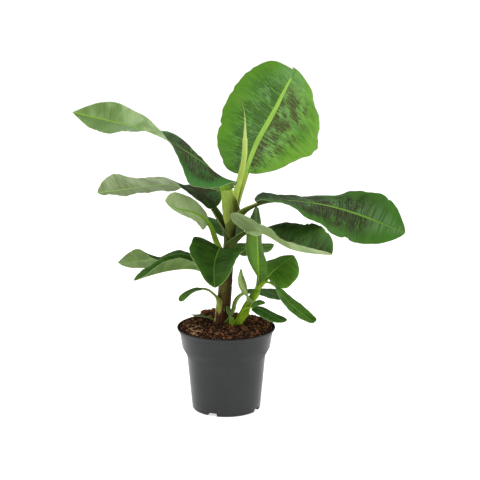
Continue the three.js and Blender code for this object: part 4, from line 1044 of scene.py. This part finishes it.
def fibres(name, mat, count, length, radius, seed_lift=1.2):
    rng = seeded(name)
    seg, sides = 7, 4
    x, y = spot(rng, count, outer=78.5)
    a = rng.uniform(0, 2 * math.pi, count)
    bend = rng.normal(0, 1.0, count)
    size = rng.uniform(length[0], length[1], count)
    lift = rng.uniform(0.1, seed_lift, count)
    t = np.linspace(-0.5, 0.5, seg)
    head = a[:, None] + bend[:, None] * t
    step = size[:, None] / (seg - 1)
    px = x[:, None] + np.cumsum(np.cos(head) * step, 1)
    py = y[:, None] + np.cumsum(np.sin(head) * step, 1)
    r = np.hypot(px, py)
    k = np.minimum(1, 80.6 / np.maximum(r, 1e-6))
    px, py = px * k, py * k
    pz = soil_height(px, py) + lift[:, None] * (1 - (2 * t) ** 2) * rng.uniform(0.2, 1.6, count)[:, None] + rng.uniform(-0.1, 0.9, count)[:, None]
    C = np.stack([px, py, pz], -1)
    T = unit(np.gradient(C, axis=1))
    U = unit(np.cross(T, np.array([0.02, 0.03, 1.0])))
    V = np.cross(T, U)
    rad = rng.uniform(radius[0], radius[1], count)[:, None] * (1 - 0.6 * np.abs(2 * t) ** 3)
    ang = np.linspace(0, 2 * math.pi, sides, endpoint=False)
    ring = C[:, :, None] + (U[:, :, None] * np.cos(ang)[:, None] + V[:, :, None] * np.sin(ang)[:, None] * 0.7) * rad[:, :, None, None]
    n = count
    verts = ring.reshape(-1, 3)
    base = (np.arange(n) * seg * sides)[:, None, None, None]
    i = np.arange(seg - 1)[None, :, None, None] * sides
    j = np.arange(sides)[None, None, :, None]
    j2 = (np.arange(sides) + 1) % sides
    j2 = j2[None, None, :, None]
    quads = np.concatenate(np.broadcast_arrays(base + i + j, base + i + sides + j, base + i + sides + j2, base + i + j2), -1).reshape(-1, 4)
    ends0 = (np.arange(n) * seg * sides)[:, None] + np.array([0, 1, 2, 3])
    ends1 = (np.arange(n) * seg * sides)[:, None] + (seg - 1) * sides + np.array([3, 2, 1, 0])
    ob = mesh_object(name, verts, [np.concatenate([quads, ends0, ends1])], [mat])
    import_fix(ob)
    return place(ob, "potting_mix")


def grain_look(name, dark, light, scale=900.0, rough=0.9, bump=0.0005):
    k = Look(name)
    p = k.here()
    a = k.noise(p, scale * 0.35, 3.0, 0.6)
    b = k.noise(p, scale, 2.0, 0.6)
    c = k.mix(k.step(a, 0.35, 0.68), dark, light)
    c = k.mix(k.m("MULTIPLY", k.step(b, 0.50, 0.30), 0.6), c, tuple(x * 0.45 for x in dark))
    k.bump(b, bump, 0.6)
    return k.finish(c, rough, 0.2)


# ------------------------------------------------------------------ materials in use
RIB_PALE = (0.30, 0.44, 0.115)
UNDER_LINE = (0.44, 0.50, 0.28)
TOPS = {
    # dark, light, margin, rib, blotch, reach, sheen
    "top": ((0.036, 0.120, 0.006), (0.112, 0.262, 0.031), (0.124, 0.268, 0.023), (0.240, 0.420, 0.064), 1.45, 0.54, 0.75),
    "upper_left": ((0.013, 0.046, 0.008), (0.030, 0.092, 0.017), (0.046, 0.160, 0.030), (0.100, 0.170, 0.040), 1.45, 0.60, 0.25),
    "right": ((0.012, 0.038, 0.005), (0.036, 0.090, 0.012), (0.042, 0.130, 0.014), (0.118, 0.245, 0.036), 1.40, 0.62, 0.45),
    "mid_left": ((0.013, 0.042, 0.007), (0.030, 0.080, 0.015), (0.034, 0.095, 0.014), (0.035, 0.070, 0.018), 1.40, 0.65, 0.10),
    "lower_right": ((0.025, 0.064, 0.010), (0.050, 0.122, 0.020), (0.052, 0.130, 0.020), (0.100, 0.195, 0.034), 0.85, 0.50, 0.10),
    "small_left": ((0.050, 0.135, 0.012), (0.085, 0.190, 0.022), (0.095, 0.210, 0.022), (0.220, 0.340, 0.050), 0.0, 0.5, 0.0),
    "front": ((0.008, 0.029, 0.0015), (0.020, 0.060, 0.004), (0.034, 0.096, 0.008), (0.130, 0.215, 0.026), 0.0, 0.35, 0.0),
    "low_left_front": ((0.018, 0.056, 0.005), (0.036, 0.098, 0.010), (0.040, 0.105, 0.011), (0.090, 0.170, 0.026), 0.0, 0.4, 0.0),
    "low_left_back": ((0.018, 0.056, 0.005), (0.036, 0.098, 0.010), (0.040, 0.105, 0.011), (0.090, 0.170, 0.026), 0.3, 0.4, 0.0),
    "back_right": ((0.050, 0.115, 0.016), (0.086, 0.175, 0.030), (0.110, 0.205, 0.040), (0.15, 0.27, 0.05), 0.3, 0.4, 0.0),
    "back": ((0.026, 0.080, 0.011), (0.050, 0.135, 0.020), (0.054, 0.145, 0.020), (0.12, 0.24, 0.04), 0.8, 0.5, 0.1),
    "low_right_back": ((0.022, 0.065, 0.009), (0.044, 0.115, 0.017), (0.046, 0.120, 0.016), (0.10, 0.20, 0.035), 0.2, 0.4, 0.0),
    "low_left_arching": ((0.040, 0.105, 0.012), (0.066, 0.155, 0.020), (0.085, 0.190, 0.024), (0.15, 0.27, 0.05), 0.0, 0.4, 0.0),
    "sucker_upright": ((0.036, 0.104, 0.004), (0.062, 0.158, 0.008), (0.076, 0.180, 0.012), (0.250, 0.430, 0.030), 0.0, 0.4, 0.0),
    "sucker_round": ((0.050, 0.140, 0.009), (0.086, 0.205, 0.018), (0.088, 0.215, 0.018), (0.200, 0.345, 0.055), 0.0, 0.4, 0.0),
    "sucker_drooping": ((0.027, 0.090, 0.004), (0.050, 0.140, 0.009), (0.060, 0.160, 0.012), (0.150, 0.290, 0.040), 0.0, 0.4, 0.0),
    "sucker_low": ((0.024, 0.080, 0.009), (0.046, 0.128, 0.016), (0.048, 0.134, 0.016), (0.110, 0.220, 0.034), 0.0, 0.4, 0.0),
    "sucker_folded": ((0.140, 0.240, 0.050), (0.220, 0.335, 0.090), (0.400, 0.520, 0.160), (0.400, 0.540, 0.150), 0.0, 0.4, 0.0),
    "sucker_bract": ((0.036, 0.110, 0.012), (0.064, 0.155, 0.020), (0.085, 0.190, 0.030), (0.15, 0.27, 0.05), 0.0, 0.4, 0.0),
    "shoot": ((0.020, 0.062, 0.004), (0.036, 0.096, 0.008), (0.075, 0.150, 0.016), (0.16, 0.28, 0.03), 0.0, 0.4, 0.0),
    "low_resting": ((0.040, 0.072, 0.004), (0.072, 0.122, 0.008), (0.150, 0.190, 0.020), (0.12, 0.17, 0.02), 0.0, 0.4, 0.0),
}
UNDERS = {
    "bright": ((0.290, 0.380, 0.165), (0.370, 0.470, 0.225), (0.190, 0.380, 0.026)),
    "pale": ((0.185, 0.258, 0.100), (0.275, 0.362, 0.155), (0.290, 0.400, 0.130)),
    "upper": ((0.108, 0.190, 0.048), (0.190, 0.300, 0.095), (0.210, 0.400, 0.034)),
    "dull": ((0.120, 0.165, 0.062), (0.172, 0.230, 0.098), (0.240, 0.370, 0.085)),
    "green": ((0.072, 0.122, 0.030), (0.120, 0.190, 0.050), (0.190, 0.290, 0.065)),
    "young": ((0.066, 0.150, 0.014), (0.108, 0.218, 0.026), (0.205, 0.340, 0.046)),
    "olive": ((0.044, 0.080, 0.004), (0.080, 0.130, 0.008), (0.150, 0.190, 0.020)),
    "dark": ((0.024, 0.078, 0.003), (0.044, 0.118, 0.006), (0.120, 0.240, 0.016)),
}
# undersides: painted shade on one half, painted sheen streaks on the other
UNDER_MORE = {"upper": dict(shade=(0.064, 0.140, 0.025), painted_sheen=0.50), "dull": dict(shade=(0.085, 0.145, 0.036), painted_sheen=0.60), "pale": dict(painted_sheen=0.12)}
UNDER_OF = {"top": "green", "upper_left": "upper", "mid_left": "dull", "lower_right": "pale", "small_left": "bright",
            "right": "green", "low_left_front": "green", "low_left_back": "green", "sucker_upright": "young", "sucker_round": "young",
            "sucker_drooping": "young", "sucker_low": "young", "sucker_folded": "bright", "sucker_bract": "young", "shoot": "dark",
            "low_left_arching": "young", "low_resting": "olive"}
# midrib: half width in mm at the stalk, and how far along it keeps that width
RIBS = {"top": (5.0, 2.4), "right": (4.3, 1.7), "upper_left": (3.2, 0.9), "mid_left": (2.4, 0.8), "lower_right": (2.2, 0.8),
        "front": (1.5, 0.8), "small_left": (3.2, 1.0), "sucker_upright": (3.4, 1.1)}
# petiole and sheath: low, high, edge, streak, foot
STALKS = {
    "top": ((0.270, 0.370, 0.045), (0.340, 0.480, 0.060), (0.42, 0.50, 0.13), (0.400, 0.530, 0.090), None),
    "upper_left": ((0.300, 0.330, 0.060), (0.430, 0.600, 0.100), (0.50, 0.60, 0.17), (0.470, 0.600, 0.140), None),
    "right": ((0.100, 0.095, 0.020), (0.130, 0.200, 0.026), (0.42, 0.34, 0.14), (0.170, 0.210, 0.040), None),
    "mid_left": ((0.045, 0.030, 0.010), (0.042, 0.085, 0.010), (0.24, 0.26, 0.09), (0.070, 0.098, 0.018), None),
    "small_left": ((0.080, 0.110, 0.016), (0.200, 0.340, 0.024), (0.30, 0.40, 0.08), (0.270, 0.420, 0.045), None),
    "lower_right": ((0.040, 0.026, 0.008), (0.060, 0.105, 0.014), (0.30, 0.34, 0.14), (0.066, 0.078, 0.016), (0.044, 0.022, 0.008)),
    "back": ((0.045, 0.040, 0.012), (0.070, 0.130, 0.018), (0.28, 0.26, 0.11), (0.090, 0.120, 0.026), None),
    "front": ((0.040, 0.030, 0.010), (0.075, 0.130, 0.018), (0.28, 0.28, 0.12), (0.080, 0.100, 0.022), None),
    "back_right": ((0.040, 0.030, 0.010), (0.070, 0.120, 0.018), (0.26, 0.26, 0.11), (0.080, 0.100, 0.022), None),
    "low_left_back": ((0.085, 0.075, 0.020), (0.080, 0.140, 0.018), (0.28, 0.28, 0.12), (0.120, 0.130, 0.030), None),
    "low_left_front": ((0.085, 0.065, 0.018), (0.090, 0.150, 0.020), (0.30, 0.30, 0.13), (0.120, 0.125, 0.028), None),
    "low_right_back": ((0.250, 0.340, 0.056), (0.200, 0.310, 0.045), (0.38, 0.46, 0.16), (0.280, 0.400, 0.075), None),
    "low_left_arching": ((0.270, 0.290, 0.050), (0.075, 0.140, 0.018), (0.40, 0.42, 0.13), (0.330, 0.370, 0.085), None),
    "sucker": ((0.260, 0.430, 0.016), (0.170, 0.310, 0.012), (0.38, 0.50, 0.09), (0.370, 0.560, 0.040), None),
}


MORE = {"top": dict(other=(0.026, 0.072, 0.008), left=(0.046, 0.142, 0.008), rib_end=246.0, pale=0.6, shear=0.36, until=240.0, fresh=(0.090, 0.240, 0.020)),
        "sucker_upright": dict(left=(0.118, 0.238, 0.020)), "sucker_folded": dict(left=(0.450, 0.560, 0.220)),
        "right": dict(until=212.0, fresh=(0.050, 0.160, 0.016), stain=(0.020, 0.013, 0.007), one_side=0.05, pale=0.75),
        "upper_left": dict(until=185.0, fresh=(0.040, 0.135, 0.022), pale=0.8, stain=(0.026, 0.016, 0.010))}


def leaf_materials(name, i):
    dark, light, margin, rib, blotch, reach, sheen = TOPS[name]
    top = top_look("leaf_face_" + name, dark, light, margin, rib, blotch, reach, sheen, seed=3.7 * i + 1.0,
                   **MORE.get(name, {}))
    kind = UNDER_OF.get(name, "green")
    label = "leaf_back_" + kind
    low = bpy.data.materials.get(label) or under_look(label, *UNDERS[kind], seed=float(len(kind)), **UNDER_MORE.get(kind, {}))
    return [top, low]


# ------------------------------------------------------------------ the plant
for i, (name, L) in enumerate(LEAVES.items()):
    if name in RIBS:
        L["rib"], L["rib_run"] = RIBS[name]
    if name == "top":
        L["notch"], L["shear"] = 0.75, 0.36
    big = L["half"] > 45
    nodes = ["blade_%s_%s" % (name, tag) for tag in SPLIT[name]] if name in SPLIT else ["blade_" + name]
    ob = blade_shape(name, L, leaf_materials(name, i), pitch=0.85 if big else 0.95, columns=20 if big else 14,
                     nick={"right": 2, "lower_right": 4, "top": 1}.get(name, 0))
    place(ob, "leaf_blade", *nodes)

main = [n for n in LEAVES if not n.startswith("sucker") and n in STALKS]
order = attach_order(main, STEM)
WRAP = {"low_left_arching": dict(wrap=76.0, drop=34.0, deep=20.0, front=58.0, flare=0.6, lift=38.0, part_at=(16.0, 52.0), outward=-152.0),
        "low_right_back": dict(wrap=80.0, drop=14.0, deep=20.0, front=60.0, flare=1.2, outward=-8.0, part_at=(-8.0, 14.0)),
        "top": dict(wrap=100.0, drop=16.0, deep=26.0),
        "upper_left": dict(wrap=140.0, drop=26.0, deep=34.0, front=100.0, part_at=(-16.0, 10.0), flare=5.0, outward=-102.0),
        "lower_right": dict(part_at=(2.0, 38.0), flare=4.0, drop=34.0, front=62.0, lift=26.0),
        "mid_left": dict(part_at=(0.0, 34.0), flare=4.0, drop=34.0, front=62.0, lift=24.0),
        "right": dict(part_at=(-14.0, 20.0), flare=3.4, front=80.0, drop=26.0, lift=8.0), "small_left": dict(part_at=(-20.0, 12.0), flare=2.6, lift=4.0),
        "low_left_front": dict(flare=1.4), "low_left_back": dict(flare=1.4)}
for rank, name in enumerate(order):
    older = [LEAVES[n]["at"][2] for n in order[rank + 1:] if n not in ("low_left_arching", "low_right_back")]
    low, high, edge, streak, foot = STALKS[name]
    # painted shade: the tone that darkens each stalk's side away from the window (None: no painted shade)
    side_shade_of = {"top": None, "low_right_back": None, "low_left_arching": None, "upper_left": (0.034, 0.016, 0.005)}.get(name, (0.028, 0.013, 0.005))
    mat = stalk_look("stalk_" + name, low, high, edge, streak, seed=2.3 * rank, foot=foot, side_shade_tone=side_shade_of, side_shade_until=0.95 if name == "upper_left" else 0.6,
                     side_shade_from=(-0.009, 0.004) if name == "upper_left" else (-0.003, 0.008))
    setup = dict(deep=min(70.0, LEAVES[name]["at"][2] - 146.0))
    setup.update(WRAP.get(name, {}))
    stalk(name, STEM, older, [mat], **setup)

low, high, edge, streak, foot = STALKS["sucker"]
sucker_skin = stalk_look("sucker_skin", low, high, edge, streak, seed=50.0)
young = attach_order([n for n in LEAVES if n in GREEN_STEM], SUCKER)
for rank, name in enumerate(young):
    older = [LEAVES[n]["at"][2] for n in young[rank + 1:]]
    near = LEAVES[name]["at"][2] - 146.0
    stalk(name, SUCKER, older, [sucker_skin], wrap=110.0 if near > 50 else 80.0, drop=14.0, deep=min(34.0, near), front=45.0, step=0.3)

# the main stem's skin, with painted shade on its side away from the window
stem_skin = stalk_look("pseudostem_skin", (0.082, 0.046, 0.008), (0.086, 0.090, 0.014), (0.3, 0.3, 0.12), (0.145, 0.145, 0.022), seed=71.0, rough=0.44, foot=(0.060, 0.005, 0.006), foot_at=0.40, side_shade_tone=(0.036, 0.018, 0.006), side_shade_until=1.3)
stem_mesh("main_stem", STEM, [stem_skin], "stem_skin", 240, 110, 0.03, 1)
stem_mesh("sucker_main", SUCKER, [sucker_skin], "petiole_skin", 90, 72, 0.03, 2)
shoot_skin = stalk_look("shoot_skin", (0.210, 0.330, 0.022), (0.150, 0.260, 0.018), (0.4, 0.45, 0.2), (0.27, 0.40, 0.04), seed=83.0)
stem_mesh("shoot_main", SHOOT, [shoot_skin], "petiole_skin", 40, 48, 0.03, 3, top=0.0)

spear_skin = stalk_look("spear_skin", (0.560, 0.720, 0.120), (0.420, 0.520, 0.170), (0.15, 0.22, 0.04), (0.500, 0.600, 0.230), seed=91.0, tip=(0.230, 0.110, 0.035))

spear_mesh([spear_skin])

# ------------------------------------------------------------------ pot and soil
def plastic_look():
    k = Look("nursery_plastic")
    p = k.here()
    fine = k.noise(p, 900.0, 2.0, 0.5)
    cloud = k.noise(p, 22.0, 3.0, 0.6)
    scuff = k.noise(p, 140.0, 3.0, 0.7)
    c = k.mix(k.step(cloud, 0.3, 0.7), (0.009, 0.0100, 0.0102), (0.0135, 0.0148, 0.0150))
    c = k.mix(k.m("MULTIPLY", k.step(scuff, 0.66, 0.80), 0.35), c, (0.07, 0.07, 0.07))
    # painted shade on the ledges, the sloped shoulder under the collar and the turned-out lip: a darker colour there,
    # and a rougher, matt surface
    place_ = k.nt.nodes.new("ShaderNodeSeparateXYZ")
    k.nt.links.new(p, place_.inputs[0])
    z = place_.outputs[2]
    shoulder = k.m("MULTIPLY", k.step(z, 0.0955, 0.0985), k.step(z, 0.1155, 0.1125))
    lip = k.step(z, 0.1385, 0.1405)
    shaded_matt_ledge = k.m("MAXIMUM", shoulder, lip)
    c = k.mix(k.m("MULTIPLY", shaded_matt_ledge, 0.45), c, (0.0080, 0.0085, 0.0085))
    k.bump(k.m("ADD", k.m("MULTIPLY", fine, 0.35), k.m("MULTIPLY", cloud, 1.0)), 0.0012, 0.12)
    rough = k.m("ADD", k.m("MULTIPLY", fine, 0.08), 0.28)
    return k.finish(c, k.m("ADD", rough, k.m("MULTIPLY", shaded_matt_ledge, 0.20)), 0.30)


pot_mesh(plastic_look())
soil_mesh(grain_look("peat", (0.008, 0.0035, 0.002), (0.040, 0.015, 0.006), 1100.0))
dark_bits = grain_look("peat_crumb", (0.009, 0.0034, 0.0015), (0.060, 0.0225, 0.009), 900.0)
red_bits = grain_look("bark_crumb", (0.100, 0.032, 0.012), (0.300, 0.120, 0.048), 700.0)
tan_bits = grain_look("bark_chip", (0.220, 0.120, 0.055), (0.520, 0.340, 0.175), 500.0, 0.8)
crumbs("peat_crumbs", dark_bits, 2300, (1.6, 6.5), (0.5, 0.95), level=1)
crumbs("bark_crumbs", red_bits, 1100, (1.6, 7.0), (0.35, 0.75), level=1, sink=0.05)
crumbs("bark_chips", tan_bits, 170, (2.2, 5.5), (0.15, 0.35), level=1, length=2.6, sink=0.0)


def chip_heap(rng, n):
    x, y = rng.normal(-53, 7, n), rng.normal(-34, 11, n)
    return x, y


crumbs("bark_heap", tan_bits, 34, (4.5, 10.5), (0.14, 0.32), level=1, tilt=0.9, places=chip_heap, length=2.0, sink=-0.25, keep=lambda x, y: np.hypot(x, y) < 76)
crumbs("peat_lump", red_bits, 26, (5.0, 12.0), (0.6, 0.95), level=2, tilt=1.2, places=lambda rng, n: (rng.normal(-30, 8, n), rng.normal(60, 7, n)), length=1.3, sink=-0.15)
fibre_red = grain_look("coir_dark", (0.060, 0.024, 0.011), (0.160, 0.070, 0.030), 400.0, 0.8)
fibre_tan = grain_look("coir_light", (0.260, 0.155, 0.075), (0.560, 0.400, 0.230), 400.0, 0.8)
fibres("coir_fibres", fibre_red, 900, (5, 16), (0.12, 0.32))
fibres("straw_fibres", fibre_tan, 340, (4, 15), (0.14, 0.38))

# ------------------------------------------------------------------ stage
def glowing_look(name, color, rough, glow):
    """A light-tent floor: white, with a little light of its own, so that it shows pure white."""
    k = Look(name)
    k.bsdf.inputs["Emission Color"].default_value = (1, 1, 1, 1)
    k.bsdf.inputs["Emission Strength"].default_value = glow
    return k.finish(color, rough, 0.1)


me = bpy.data.meshes.new("floor")
me.from_pydata([(-30, -30, 0), (30, -30, 0), (30, 60, 0), (-30, 60, 0)], [], [(0, 1, 2, 3)])
me.materials.append(glowing_look("floor_paint", (0.90, 0.90, 0.90), 0.9, 0.66))
floor = bpy.data.objects.new("floor", me)
bpy.context.scene.collection.objects.link(floor)
floor.location.z = -0.0004


def softbox(name, place_at, aim, size, power, color=(1, 1, 1)):
    data = bpy.data.lights.new(name, "AREA")
    data.shape = "RECTANGLE"
    data.size, data.size_y = size
    data.energy = power
    data.color = color
    ob = bpy.data.objects.new(name, data)
    bpy.context.scene.collection.objects.link(ob)
    ob.location = place_at
    ob.rotation_mode = "QUATERNION"
    ob.rotation_quaternion = (Vector(place_at) - Vector(aim)).to_track_quat("Z", "Y")
    return ob


aim = (0.02, 0, 0.3)
softbox("left_softbox", (-2.1, -0.1, 1.0), aim, (1.8, 1.7), 24)
softbox("right_softbox", (2.1, 0.0, 0.95), aim, (1.7, 1.6), 29)
softbox("top_softbox", (-0.3, -0.7, 2.4), aim, (1.8, 1.8), 42)
world = bpy.data.worlds.new("studio")
bpy.context.scene.world = world
world.use_nodes = True
world.node_tree.nodes["Background"].inputs[0].default_value = (1, 1, 1, 1)
world.node_tree.nodes["Background"].inputs[1].default_value = 0.40

cam_data = bpy.data.cameras.new("camera")
cam_data.lens, cam_data.sensor_width = 135, 36
cam_data.clip_start, cam_data.clip_end = 0.05, 100
cam = bpy.data.objects.new("camera", cam_data)
bpy.context.scene.collection.objects.link(cam)
cam.location = (0.0244, -3.049, 1.037)
cam.rotation_euler = (math.radians(90 - 13.5), 0, 0)
bpy.context.scene.camera = cam
bpy.context.scene.view_settings.view_transform = "Standard"
bpy.context.scene.view_settings.look = "None"
